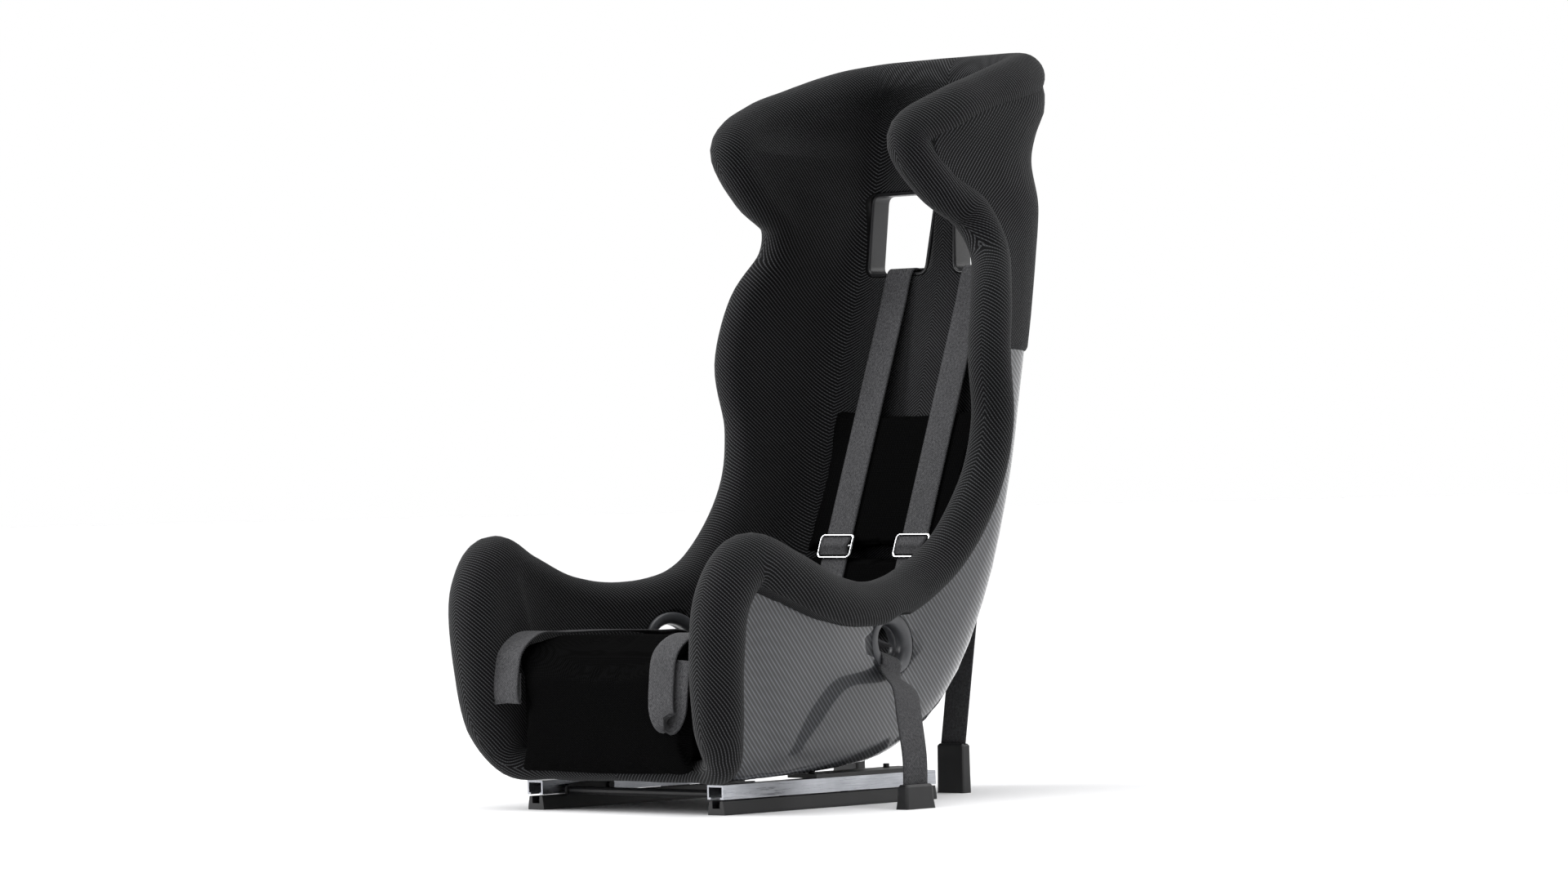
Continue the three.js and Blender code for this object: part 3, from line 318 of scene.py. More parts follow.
# form of the bucket
# Each row is one station around the rim, from the middle of the front edge to the middle of the top:
# rim x, y, z, roll radius, lean, lift | inner face at the middle y, z | crease x, y, z, crease radius
stations = [
    [0, -303, 52, 13, 0, 90, -255, 59, 0, -278, 59, 10],
    [120, -303, 52, 13, 0, 90, -253, 59, 110, -278, 59, 10],
    [182, -315, 62, 22, 0, 45, -248, 59, 158, -284, 59, 10],
    [200, -336, 110, 31, 0, 8, -238, 59, 171, -285, 60, 14],
    [208, -345, 190, 34, 0, 0, -222, 59, 176, -272, 60, 16],
    [216, -340, 265, 35, 0, 0, -206, 60, 178, -255, 61, 18],
    [223, -306, 307, 35, 0, 0, -186, 60, 179, -232, 61, 20],
    [233, -248, 288, 33, 0, 0, -152, 61, 180, -195, 62, 24],
    [230, -170, 259, 30, 0, 0, -102, 62, 178, -135, 64, 34],
    [217, -90, 249, 29, 0, 0, -42, 64, 175, -68, 67, 52],
    [201, 0, 266, 29, 0, 0, 30, 70, 170, 8, 76, 74],
    [206, 75, 316, 28, 8, 0, 107, 121, 168, 92, 124, 72],
    [212, 132, 400, 27, 15, 0, 172, 246, 166, 169, 248, 58],
    [218, 148, 475, 27, 20, 0, 228, 412, 162, 228, 412, 46],
    [224, 138, 555, 27, 20, 0, 262, 551, 156, 263, 551, 42],
    [214, 155, 634, 26, 20, 0, 283, 633, 149, 285, 633, 40],
    [187, 182, 692, 25, 18, 0, 298, 694, 143, 300, 694, 36],
    [168, 170, 738, 26, 8, 0, 303, 741, 138, 305, 741, 34],
    [159, 113, 776, 28, 2, 0, 307, 775, 133, 309, 777, 34],
    [156, 72, 830, 29, 0, 0, 311, 806, 127, 314, 814, 34],
    [165, 130, 865, 29, 4, 0, 314, 824, 124, 317, 838, 34],
    [161, 195, 886, 29, 12, 0, 316, 838, 120, 320, 854, 32],
    [148, 275, 908, 30, 30, 0, 317, 849, 112, 323, 866, 30],
    [122, 323, 917, 31, 58, 0, 318, 858, 92, 326, 880, 24],
    [60, 345, 920, 31, 84, 0, 319, 864, 46, 329, 890, 16],
    [0, 350, 921, 31, 90, 0, 319, 867, 0, 330, 893, 12],
]
bucket = {
    "padBack": 15.0, "padSide": 20.0, "shellWall": 4.0, "gap": 0.3, "rollArrival": 26.0,
    "edgeDrop": 3.0, "lipAngle": 244.0, "lipAngleFlat": 188.0, "capWall": 7.0, "capStart": 14.14,
    "headTuck": 1.5, "ridgeAngle": 90.0,
    "rows": 7, "flat": 8, "fillet": 7, "wall": 14, "roll": 20, "toRidge": 7,
}
lastStation = len(stations) - 1


def smoothPoint(points, share):
    # a centripetal Catmull-Rom curve through the points
    place = (len(points) - 1) * share
    i = min(int(place), len(points) - 2)
    weight = place - i
    p1, p2 = points[i], points[i + 1]
    p0 = points[i - 1] if i > 0 else p1 * 2 - p2
    p3 = points[i + 2] if i + 2 < len(points) else p2 * 2 - p1
    d0, d1, d2 = [math.sqrt((b - a).length) for a, b in ((p0, p1), (p1, p2), (p2, p3))]
    d1 = d1 if d1 > 1e-4 else 1.0
    d0 = d0 if d0 > 1e-4 else d1
    d2 = d2 if d2 > 1e-4 else d1
    t1 = ((p1 - p0) / d0 - (p2 - p0) / (d0 + d1) + (p2 - p1) / d1) * d1
    t2 = ((p2 - p1) / d1 - (p3 - p1) / (d1 + d2) + (p3 - p2) / d2) * d1
    w2, w3 = weight ** 2, weight ** 3
    return p1 + t1 * weight + (-3 * p1 + 3 * p2 - 2 * t1 - t2) * w2 + (2 * p1 - 2 * p2 + t1 + t2) * w3


def smoothTangent(points, share):
    low, high = max(0.0, share - 1e-4), min(1.0, share + 1e-4)
    return (smoothPoint(points, high) - smoothPoint(points, low)).normalized()


def mirrored(p):
    return Vector((-p.x, p.y, p.z))


def onMiddle(p):
    return Vector((0, p.y, p.z))


def withMirroredEnds(points):
    return [mirrored(points[1])] + points + [mirrored(points[-2])]


rimPoints = withMirroredEnds([Vector(s[0:3]) for s in stations])
creasePoints = withMirroredEnds([Vector(s[8:11]) for s in stations])
spinePoints = [Vector((0, s[6], s[7])) for s in stations]
sizePoints = [Vector(s[3:6]) for s in stations]
radiusPoints = [Vector((s[11], 0, 0)) for s in stations]


def headTuck(k):
    # the shell's corners are drawn in behind the cheeks of the head wings
    rise = min(1.0, max(0.0, (k - 15.5) / 3.0)) * min(1.0, max(0.0, (23.0 - k) / 3.0))
    return bucket["headTuck"] * rise * rise * (3 - 2 * rise)


def sectionAt(k):
    padded = (k + 1) / (lastStation + 2)
    share = k / lastStation
    size = smoothPoint(sizePoints, share)
    along = smoothTangent(rimPoints, padded)
    spineAlong = smoothTangent(spinePoints, share)
    lean, lift = math.radians(size.y), math.radians(size.z)
    inward = Vector((-math.cos(lean) * math.cos(lift), -math.sin(lean) * math.cos(lift), math.sin(lift)))
    inward = (inward - along * inward.dot(along)).normalized()
    return {
        "rim": smoothPoint(rimPoints, padded), "crease": smoothPoint(creasePoints, padded),
        "spine": smoothPoint(spinePoints, share), "roll": size.x, "lift": size.z / 90,
        "spineIn": Vector((0, -spineAlong.z, spineAlong.y)).normalized(), "inward": inward,
        "outward": along.cross(inward).normalized(), "tuck": headTuck(k),
        "radius": smoothPoint(radiusPoints, share).x,
    }


def bezier(points, t):
    while len(points) > 1:
        points = [a.lerp(b, t) for a, b in zip(points, points[1:])]
    return points[0]


def layerPoints(f, back, side, steps, drop=0.0, stopDrop=None):
    # one layer of the section from the middle to the roll; the wall may stop at a drop below the rim
    a = f["spine"] - f["spineIn"] * back
    share = 1 + f["spineIn"].dot(f["inward"])
    c = f["crease"] - f["spineIn"] * (back / share) - f["inward"] * (side / share)
    t = f["rim"] + f["inward"] * (f["roll"] - side)
    end = t - f["outward"] * drop
    radius = f["radius"] + (back + side) / 2 * (1 + f["tuck"] * (back > 0))
    legA = c + (a - c).normalized() * min(radius, 0.8 * (a - c).length)
    legB = c + (t - c).normalized() * min(radius, 0.5 * (end - c).length)
    reach = (legB - end).length / 3
    leave = legB + (t - c).normalized() * reach
    arrive = end - f["outward"] * min(reach, bucket["rollArrival"])
    wall = [legB, leave, arrive, end]
    wallShare = 1.0
    if stopDrop is not None:
        while wallShare > 0.2 and (f["rim"] - bezier(wall, wallShare)).dot(f["outward"]) < stopDrop:
            wallShare -= 0.01
    flat, fillet, wallSteps = steps
    return (
        [a.lerp(legA, i / flat) for i in range(flat)]
        + [bezier([legA, c, legB], i / fillet) for i in range(fillet)]
        + [bezier(wall, wallShare * i / wallSteps) for i in range(wallSteps + 1)]
    )


def sideDepth(f, depth):
    return depth - f["lift"] * (bucket["padSide"] - bucket["padBack"])


shellIn = {"back": bucket["padBack"] + bucket["gap"], "side": bucket["padSide"] + bucket["gap"]}
shellOut = {"back": shellIn["back"] + bucket["shellWall"], "side": shellIn["side"] + bucket["shellWall"]}
fineSteps = (bucket["flat"], bucket["fillet"], bucket["wall"])


def coverProfile(k):
    f = sectionAt(k)
    inner = layerPoints(f, 0, 0, fineSteps)
    lip = bucket["lipAngle"] + (bucket["lipAngleFlat"] - bucket["lipAngle"]) * f["lift"]
    rollRing = []
    for i in range(1, bucket["roll"] + 1):
        past = max(0, i - bucket["toRidge"]) / (bucket["roll"] - bucket["toRidge"])
        upTo = bucket["ridgeAngle"] * min(1.0, i / bucket["toRidge"])
        a = math.radians(upTo + (lip - bucket["ridgeAngle"]) * past)
        rollRing.append(f["rim"] + (f["inward"] * math.cos(a) + f["outward"] * math.sin(a)) * f["roll"])
    lipDrop = -math.sin(math.radians(lip)) * f["roll"]
    behind = layerPoints(f, shellIn["back"] - bucket["gap"], sideDepth(f, shellIn["side"]) - bucket["gap"],
                         (3, 3, 4), bucket["edgeDrop"], lipDrop)
    return inner + rollRing + behind[::-1], f


def shellProfile(k):
    f = sectionAt(k)
    inner = layerPoints(f, shellIn["back"], sideDepth(f, shellIn["side"]), (3, 3, 5), bucket["edgeDrop"])
    outer = layerPoints(f, shellOut["back"], sideDepth(f, shellOut["side"]), fineSteps, bucket["edgeDrop"])
    return inner + outer[::-1], f


def meshVolume(mesh):
    bm = bmesh.new()
    bm.from_mesh(mesh)
    volume = bm.calc_volume(signed=True)
    bm.free()
    return volume


def finishPiece(name, bm, merge=False):
    # writes a mesh made in code to a piece whose faces all point outwards
    mesh = bpy.data.meshes.new(name)
    if merge:
        bmesh.ops.remove_doubles(bm, verts=bm.verts, dist=1e-5)
        bmesh.ops.dissolve_degenerate(bm, edges=bm.edges, dist=1e-6)
    bmesh.ops.recalc_face_normals(bm, faces=bm.faces)
    bm.to_mesh(mesh)
    bm.free()
    if meshVolume(mesh) < 0:
        mesh.flip_normals()
    piece = bpy.data.objects.new(name, mesh)
    bpy.context.collection.objects.link(piece)
    return piece


def loftBucket(name, profileOf, rows, uvOf=None):
    # sections up the right side and back down the left, closed along the middle
    right = [profileOf(lastStation * i / rows) for i in range(rows + 1)]
    bm = bmesh.new()
    columns = len(right[0][0])
    rings = []
    for i, (points, _) in enumerate(right):
        fixed = [onMiddle(p) if i in (0, rows) or j in (0, columns - 1) else p for j, p in enumerate(points)]
        rings.append([fixed, i])
    left = [[[mirrored(p) for p in ring], i] for ring, i in rings[1:-1][::-1]]
    loop = rings + left
    verts = [[bm.verts.new(toMetres(p)) for p in ring] for ring, _ in loop]
    layer = bm.loops.layers.uv.new("weave")
    coords = uvOf(right) if uvOf else None
    for i in range(len(loop)):
        n = (i + 1) % len(loop)
        for j in range(columns - 1):
            face = bm.faces.new((verts[i][j], verts[i][j + 1], verts[n][j + 1], verts[n][j]))
            face.smooth = True
            if coords:
                corners = ((i, j), (i, j + 1), (n, j + 1), (n, j))
                for corner, (r, c) in zip(face.loops, corners):
                    corner[layer].uv = coords(loop[r][1], c, j)
    return finishPiece(name, bm, merge=True)


def coverWeave(right):
    # side panels are cut flat, so their weave keeps to height and depth; past the roll's ridge it is
    # mirrored, and the panels of the pan and the backrest count away from the crease
    rollStart = bucket["flat"] + bucket["fillet"] + bucket["wall"]
    ridge = rollStart + bucket["toRidge"]
    crease = bucket["flat"] + bucket["fillet"] // 2
    edgeRun, across = [0.0], []
    for i, (points, f) in enumerate(right):
        if i:
            before = right[i - 1][0]
            k = lastStation * i / (len(right) - 1)
            turns = abs(points[ridge].x - before[ridge].x) if k < 2.5 or k > 21 else 0.0
            edgeRun.append(edgeRun[-1] + turns)
        run = [0.0]
        for a, b in zip(points, points[1:]):
            run.append(run[-1] + (b - a).length)
        across.append(run)

    def coords(row, column, face):
        points, f = right[row]
        run = across[row]
        if face < crease:
            return ((points[column].y + points[column].z) / 1000, (run[column] - run[crease]) / 1000)
        if column <= rollStart:
            p = points[column]
            return ((p.z + edgeRun[row]) / 1000, p.y / 1000)
        p = points[rollStart]
        arc = run[column] - run[rollStart]
        arc = min(arc, 2 * (run[ridge] - run[rollStart]) - arc)
        out = Vector((f["outward"].z, f["outward"].y))
        out = out.normalized() if out.length > 0.2 else Vector((1, 0))
        return ((p.z + edgeRun[row] + out.x * arc) / 1000, (p.y + out.y * arc) / 1000)
    return coords


# holes and their linings
def ringFrame(*names):
    # the oval linings' middle and own axes, read from the frame: long axis, short axis, outward
    points = np.array([v.co[:] for name in names for v in nodes[name].data.vertices])
    middle = (points.max(axis=0) + points.min(axis=0)) / 2
    _, _, axes = np.linalg.svd(points - points.mean(axis=0), full_matrices=False)
    longAxis, shortAxis, outAxis = [Vector(a) for a in axes]
    if outAxis.x < 0:
        outAxis = -outAxis
    if longAxis.y < 0:
        longAxis = -longAxis
    if shortAxis.z < 0:
        shortAxis = -shortAxis
    return Vector(middle), longAxis.normalized(), shortAxis.normalized(), outAxis.normalized()


lining = {"long": 90, "short": 76, "around": 72, "cutReach": 0.045, "cutRoom": 0.0004}
linedNodes = ("lap_grommet_outer_left", "lap_grommet_inner_left")
holeMiddle, holeLong, holeShort, holeOut = ringFrame(*linedNodes)
ringPoints = [v.co for n in linedNodes for v in nodes[n].data.vertices]
holeHalf = max((p - holeMiddle).dot(holeOut) for p in ringPoints)


def cutWith(piece, cutters):
    for cutter in cutters:
        modifier = piece.modifiers.new("hole", "BOOLEAN")
        modifier.operation = "DIFFERENCE"
        modifier.solver = "EXACT"
        modifier.object = cutter
    applyModifiers(piece)


def ovalCutter(name, mirror):
    deselectAll()
    bpy.ops.mesh.primitive_cylinder_add(vertices=64, radius=1, depth=2)
    cutter = bpy.context.object
    cutter.name = name
    basis = Matrix((holeLong, holeShort, holeOut)).transposed().to_4x4()
    halfLong = lining["long"] / 2000 + lining["cutRoom"]
    halfShort = lining["short"] / 2000 + lining["cutRoom"]
    sizes = Matrix.Diagonal((halfLong, halfShort, lining["cutReach"], 1))
    cutter.data.transform(Matrix.Translation(holeMiddle) @ basis @ sizes)
    if mirror:
        cutter.data.transform(Matrix.Scale(-1, 4, (1, 0, 0)))
        cutter.data.flip_normals()
    if meshVolume(cutter.data) < 0:
        cutter.data.flip_normals()
    return cutter


slotFrame = {"innerLow": 23, "innerHigh": 12, "outer": 130, "bottom": 667, "top": 778, "corner": 15,
             "tall": 0.111, "near": 0.0125, "cutReach": 0.05}
bezelLow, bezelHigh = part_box("slot_bezel_left")
bezelVerts = [v.co for v in nodes["slot_bezel_left"].data.vertices]
lowFront = min(v.y for v in bezelVerts if v.z < bezelLow.z + slotFrame["near"])
highFront = min(v.y for v in bezelVerts if v.z > bezelHigh.z - slotFrame["near"])
backLean = (highFront - lowFront) / slotFrame["tall"] if highFront > lowFront else 0.15
bezelDepth = (bezelHigh.y - bezelLow.y) - backLean * slotFrame["tall"]
slotMiddle = (bezelLow.z + bezelHigh.z) / 2
bezelFrontY = bezelLow.y + backLean * slotFrame["tall"] / 2


def slotOutline(inset, steps=8):
    # the slot's rounded four corners, as x and z in metres
    s = slotFrame
    corners = [
        Vector((s["innerLow"] + inset, s["bottom"] + inset)),
        Vector((s["outer"] - inset, s["bottom"] + inset)),
        Vector((s["outer"] - inset, s["top"] - inset)),
        Vector((s["innerHigh"] + inset, s["top"] - inset)),
    ]
    radius = max(2.0, s["corner"] - inset)
    outline = []
    for i, corner in enumerate(corners):
        start = corner + (corners[i - 1] - corner).normalized() * radius
        end = corner + (corners[(i + 1) % 4] - corner).normalized() * radius
        outline += [bezier([start, corner, end], j / steps) / 1000 for j in range(steps + 1)]
    return outline


def slantedPoint(point, depth, mirror):
    x = -point.x if mirror else point.x
    return Vector((x, bezelFrontY + depth + backLean * (point.y - slotMiddle), point.y))


def ringsToPiece(name, rings, closeRings=False, capEnds=False):
    # skins rings of equal point counts; each ring is closed on itself
    bm = bmesh.new()
    verts = [[bm.verts.new(p) for p in ring] for ring in rings]
    count = len(rings[0])
    for i in range(len(rings) if closeRings else len(rings) - 1):
        n = (i + 1) % len(rings)
        for j in range(count):
            k = (j + 1) % count
            bm.faces.new((verts[i][j], verts[i][k], verts[n][k], verts[n][j])).smooth = True
    if capEnds:
        bm.faces.new(verts[0])
        bm.faces.new(verts[-1])
    return finishPiece(name, bm)


def slotCutter(name, mirror):
    outline = slotOutline(-0.4)
    reach = slotFrame["cutReach"]
    rings = [[slantedPoint(p, depth, mirror) for p in outline] for depth in (-reach, bezelDepth + reach)]
    return ringsToPiece(name, rings, capEnds=True)


def bezelPiece(side, mirror):
    # a moulded frame: rounded lips front and back around a thin wall
    profile = [(0.2, 3.2), (0.2, 1.4), (0.9, 0.3), (2.2, 0.0), (3.6, 0.4), (4.4, 1.6), (4.5, 4.0)]
    depth = bezelDepth * 1000
    around = [(inset, d) for inset, d in profile] + [(inset, depth - d) for inset, d in profile[::-1]]
    rings = []
    for inset, d in around:
        rings.append([slantedPoint(p, d / 1000, mirror) for p in slotOutline(inset)])
    return ringsToPiece("slotBezel" + side, rings, closeRings=True)


def liningPiece(name, mirror, outerHalf):
    # an oval moulded ring whose lip is rounded and whose throat flares
    proud = holeHalf * 1000
    long, short = lining["long"] / 2, lining["short"] / 2
    sign = 1 if outerHalf else -1
    profile = [
        (0.0, 0.35), (0.0, proud - 2.6), (0.8, proud - 0.9), (3.0, proud - 0.1), (7.0, proud),
        (11.0, proud - 0.9), (14.0, proud - 3.2), (15.6, proud - 7.0), (16.0, 0.35),
    ]
    rings = []
    for inset, height in profile:
        ring = []
        for i in range(lining["around"]):
            a = math.tau * i / lining["around"]
            p = (holeMiddle + holeLong * (math.cos(a) * (long - inset) / 1000)
                 + holeShort * (math.sin(a) * (short - inset) / 1000) + holeOut * (sign * height / 1000))
            ring.append(mirrored(p) if mirror else p)
        rings.append(ring)
    return ringsToPiece(name, rings, closeRings=True)


def dress(piece, material, body, node):
    # a piece's material and body, and the node that it stands for
    piece.data.materials.clear()
    piece.data.materials.append(material)
    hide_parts(node)
    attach(piece, body)


def softenSurface(piece, strength, size, seed):
    # shallow dents of hand-laid foam, along the normals
    normals = [v.normal.copy() for v in piece.data.vertices]
    for v, normal in zip(piece.data.vertices, normals):
        broad = noise.noise(v.co / size + Vector((seed, 0, 0)))
        fine = noise.noise(v.co / (size * 0.4) + Vector((0, seed, 0)))
        v.co += normal * (strength * (broad + 0.4 * fine))


cutters = [
    ovalCutter("cutOvalLeft", False), ovalCutter("cutOvalRight", True),
    slotCutter("cutSlotLeft", False), slotCutter("cutSlotRight", True),
]
rowCount = lastStation * bucket["rows"]
cover = loftBucket("upholsteryCover", coverProfile, rowCount, coverWeave)
softenSurface(cover, 0.0009, 0.085, 3)
cutWith(cover, cutters)
dress(cover, twillCloth, "seat", "upholstery_cover")
print("cover made", len(cover.data.polygons))

shell = loftBucket("compositeShell", shellProfile, rowCount // 2)
cutWith(shell, cutters)
dress(shell, carbonShell, "seat", "shell")
print("shell made", len(shell.data.polygons))


# the head cap: padded cloth over the back of the head and shoulders
headCap = {
    "rows": 66, "hem": 0.35, "innerBack": 17.3, "innerSide": 22.3, "steps": (10, 7, 12), "calm": 24,
    "calmUpTo": 22.6, "meetStart": 15.2, "meetRun": 2.8, "sink": 2.5,
}


def capProfile(k):
    f = sectionAt(k)
    blend = min(1.0, max(0.0, (k - headCap["meetStart"]) / headCap["meetRun"]))
    blend = blend * blend * (3 - 2 * blend)
    hem = min(1.0, (k - bucket["capStart"]) / headCap["hem"])
    swell = math.sqrt(max(0.0, 1 - (1 - hem) ** 2))
    innerSide = sideDepth(f, headCap["innerSide"])
    innerSide += (2 * f["roll"] - bucket["capWall"] - innerSide) * blend
    outerSide = sideDepth(f, shellOut["side"]) + 0.4 + bucket["capWall"]
    outerSide += (2 * f["roll"] - headCap["sink"] - outerSide) * blend
    outerBack = shellOut["back"] + bucket["capWall"] + 0.4
    outerBack = headCap["innerBack"] + 1 + (outerBack - headCap["innerBack"] - 1) * swell
    outerSide = innerSide + 1 + (outerSide - innerSide - 1) * swell
    inner = layerPoints(f, headCap["innerBack"], innerSide, headCap["steps"])
    outer = layerPoints(f, outerBack, outerSide, headCap["steps"])
    across = [mirrored(p) for p in outer[:0:-1]] + outer
    under = [mirrored(p) for p in inner[:0:-1]] + inner
    return across, under


def makeHeadCap():
    rows = []
    for i in range(headCap["rows"] + 1):
        share = i / headCap["rows"]
        share = share * share if i < 6 else share
        rows.append(bucket["capStart"] + share * (lastStation - bucket["capStart"]))
    rows = sorted(set([rows[0], rows[0] + 0.03, rows[0] + 0.08, rows[0] + 0.16] + rows[3:]))
    profiles = [capProfile(k) for k in rows]
    for _ in range(headCap["calm"]):  # evens the cloth out along its height
        for side in (0, 1):
            before = [list(p[side]) for p in profiles]
            for i in [i for i in range(6, len(rows) - 1) if rows[i] < headCap["calmUpTo"]]:
                for j in range(len(before[i])):
                    beside = before[i - 1][j] + before[i + 1][j]
                    profiles[i][side][j] = before[i][j] * 0.5 + beside * 0.25
    bm = bmesh.new()
    layer = bm.loops.layers.uv.new("weave")
    grid, coords = [], []
    for k, (across, under) in zip(rows, profiles):
        if k == rows[-1]:
            across = [onMiddle(p) for p in across]
            under = [onMiddle(p) for p in under]
        run = [0.0]
        for a, b in zip(across, across[1:]):
            run.append(run[-1] + (b - a).length)
        half = run[len(across) // 2]
        ring = across + under[::-1]
        grid.append([bm.verts.new(toMetres(p)) for p in ring])
        middle = across[len(across) // 2]
        coords.append(([(abs(r - half) / 1000) for r in run] + [0.0] * len(under), middle))
    height = [0.0]
    for (_, a), (_, b) in zip(coords, coords[1:]):
        height.append(height[-1] + (b - a).length / 1000)
    count = len(grid[0])
    for i in range(len(grid) - 1):
        for j in range(count):
            n = (j + 1) % count
            face = bm.faces.new((grid[i][j], grid[i][n], grid[i + 1][n], grid[i + 1][j]))
            face.smooth = True
            for loop, (r, c) in zip(face.loops, ((i, j), (i, n), (i + 1, n), (i + 1, j))):
                loop[layer].uv = (height[r], coords[r][0][c])
    bm.faces.new(grid[0])
    return finishPiece("headCapCover", bm, merge=True)


cap = makeHeadCap()
softenSurface(cap, 0.0004, 0.07, 8)
cutWith(cap, cutters[2:])
dress(cap, twillCloth, "seat", "head_cap_cover")
for cutter in cutters:
    bpy.data.objects.remove(cutter)
print("head cap made", len(cap.data.polygons))

# the linings of the four holes
for side, mirror in (("Left", False), ("Right", True)):
    low = side.lower()
    bezel = bezelPiece(side, mirror)
    dress(bezel, darkNylon, "seat", f"slot_bezel_{low}")
    for part, outerHalf in (("Outer", True), ("Inner", False)):
        ring = liningPiece(f"lapLining{part}{side}", mirror, outerHalf)
        dress(ring, mouldedNylon, "seat", f"lap_grommet_{part.lower()}_{low}")
print("linings made")

# knitted cushions: the blank is drawn in a little, remeshed, then swollen by air pressure
cushions = {
    "voxel": 0.005, "pressure": 4.0, "steps": 16, "shrink": 0.004, "mostMove": 0.009,
    "strapDepth": 0.1676, "strapHeight": 0.332, "strapSlope": 0.3676,
}


def swellCushion(name, node, seams):
    mesh = nodes[node].data.copy()
    piece = bpy.data.objects.new(name, mesh)
    bpy.context.collection.objects.link(piece)
    bm = bmesh.new()
    bm.from_mesh(mesh)
    bmesh.ops.remove_doubles(bm, verts=bm.verts, dist=1e-5)
    bmesh.ops.recalc_face_normals(bm, faces=bm.faces)
    bm.to_mesh(mesh)
    bm.free()
    makeActive(piece)
    remesh = piece.modifiers.new("remesh", "REMESH")
    remesh.mode = "VOXEL"
    remesh.voxel_size = cushions["voxel"]
    applyModifiers(piece)
    smooth = piece.modifiers.new("smooth", "SMOOTH")
    smooth.factor = 0.5
    smooth.iterations = 6
    applyModifiers(piece)
    start = [v.co - v.normal * cushions["shrink"] for v in piece.data.vertices]
    for v, place in zip(piece.data.vertices, start):
        v.co = place
    cloth = piece.modifiers.new("cloth", "CLOTH")
    cloth.settings.use_pressure = True
    cloth.settings.uniform_pressure_force = cushions["pressure"]
    cloth.settings.effector_weights.gravity = 0
    cloth.point_cache.frame_start = 1
    cloth.point_cache.frame_end = cushions["steps"]
    for step in range(1, cushions["steps"] + 1):
        bpy.context.scene.frame_set(step)
    depsgraph = bpy.context.evaluated_depsgraph_get()
    moved = [v.co.copy() for v in piece.evaluated_get(depsgraph).data.vertices]
    piece.modifiers.clear()
    bpy.context.scene.frame_set(1)
    for v, before, after in zip(piece.data.vertices, start, moved):
        shift = after - before
        v.co = before + shift * min(1.0, cushions["mostMove"] / max(shift.length, 1e-6))
    subdivide = piece.modifiers.new("subdivide", "SUBSURF")
    subdivide.levels = subdivide.render_levels = 1
    applyModifiers(piece)
    for v, normal in zip(piece.data.vertices, [v.normal.copy() for v in piece.data.vertices]):
        v.co -= normal * sum(depth * math.exp(-(gap(v.co) / width) ** 2) for gap, depth, width in seams)
    for polygon in piece.data.polygons:
        polygon.use_smooth = True
    softenSurface(piece, 0.0006, 0.05, 5)
    if node != "seat_cushion":  # the shoulder straps press the face flat
        for v in piece.data.vertices:
            rise = v.co.z - cushions["strapHeight"]
            v.co.y = max(v.co.y, cushions["strapDepth"] + rise * cushions["strapSlope"])
    dress(piece, knitCloth, "seat", node)
    print(name, "made", len(piece.data.polygons))


backLow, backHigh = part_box("back_cushion")
seatLow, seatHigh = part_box("seat_cushion")


def middleSeam(p):
    return abs(p.x)


def backEdgeSeam(p):
    return abs(min(p.x - backLow.x, backHigh.x - p.x, backHigh.z - p.z) - 0.014)


def seatEdgeSeam(p):
    return abs(min(p.x - seatLow.x, seatHigh.x - p.x) - 0.016) if p.z > 0.15 else 1.0


# each seam is a distance from its line, a depth and a width
middle = (middleSeam, 0.0022, 0.003)
swellCushion("backCushion", "back_cushion", [middle, (backEdgeSeam, 0.0012, 0.002)])
swellCushion("hipCushion", "hip_cushion", [middle])
swellCushion("seatCushion", "seat_cushion", [(seatEdgeSeam, 0.0014, 0.0025)])

# webbing straps: a woven band with soft selvedges
strap = {"thick": 2.4, "selvedge": 1.0, "across": 8}


def strapPiece(name, centres, across, width, steps):
    centres = [Vector(p) for p in centres]
    across = [Vector(a).normalized() for a in across]
    half, halfThick, soft = width / 2, strap["thick"] / 2, strap["selvedge"]
    section = []
    for i in range(strap["across"] + 1):
        section.append((-half + soft + (width - 2 * soft) * i / strap["across"], halfThick))
    section += [(half - 0.25, halfThick * 0.6), (half, 0.0), (half - 0.25, -halfThick * 0.6)]
    for i in range(strap["across"], -1, -1):
        section.append((-half + soft + (width - 2 * soft) * i / strap["across"], -halfThick))
    section += [(-half + 0.25, -halfThick * 0.6), (-half, 0.0), (-half + 0.25, halfThick * 0.6)]
    bm = bmesh.new()
    layer = bm.loops.layers.uv.new("weave")
    rings, runs, before, run = [], [], None, 0.0
    for i in range(steps + 1):
        t = i / steps
        centre = smoothPoint(centres, t)
        ahead = smoothTangent(centres, t)
        sideways = smoothPoint(across, t)
        sideways = (sideways - ahead * sideways.dot(ahead)).normalized()
        normal = ahead.cross(sideways)
        run += (centre - before).length if before else 0.0
        before = centre
        runs.append(run / 1000)
        rings.append([bm.verts.new(toMetres(centre + sideways * a + normal * b)) for a, b in section])
    count = len(section)
    for i in range(steps):
        for j in range(count):
            n = (j + 1) % count
            face = bm.faces.new((rings[i][j], rings[i][n], rings[i + 1][n], rings[i + 1][j]))
            face.smooth = True
            for loop, (r, c) in zip(face.loops, ((i, j), (i, n), (i + 1, n), (i + 1, j))):
                loop[layer].uv = (runs[r], section[c][0] / 1000)
    bm.faces.new(rings[0])
    bm.faces.new(rings[-1])
    piece = finishPiece(name, bm)
    piece.data.materials.append(webbingCloth)
    return piece


def flipped(points):
    return [(-x, y, z) for x, y, z in points]


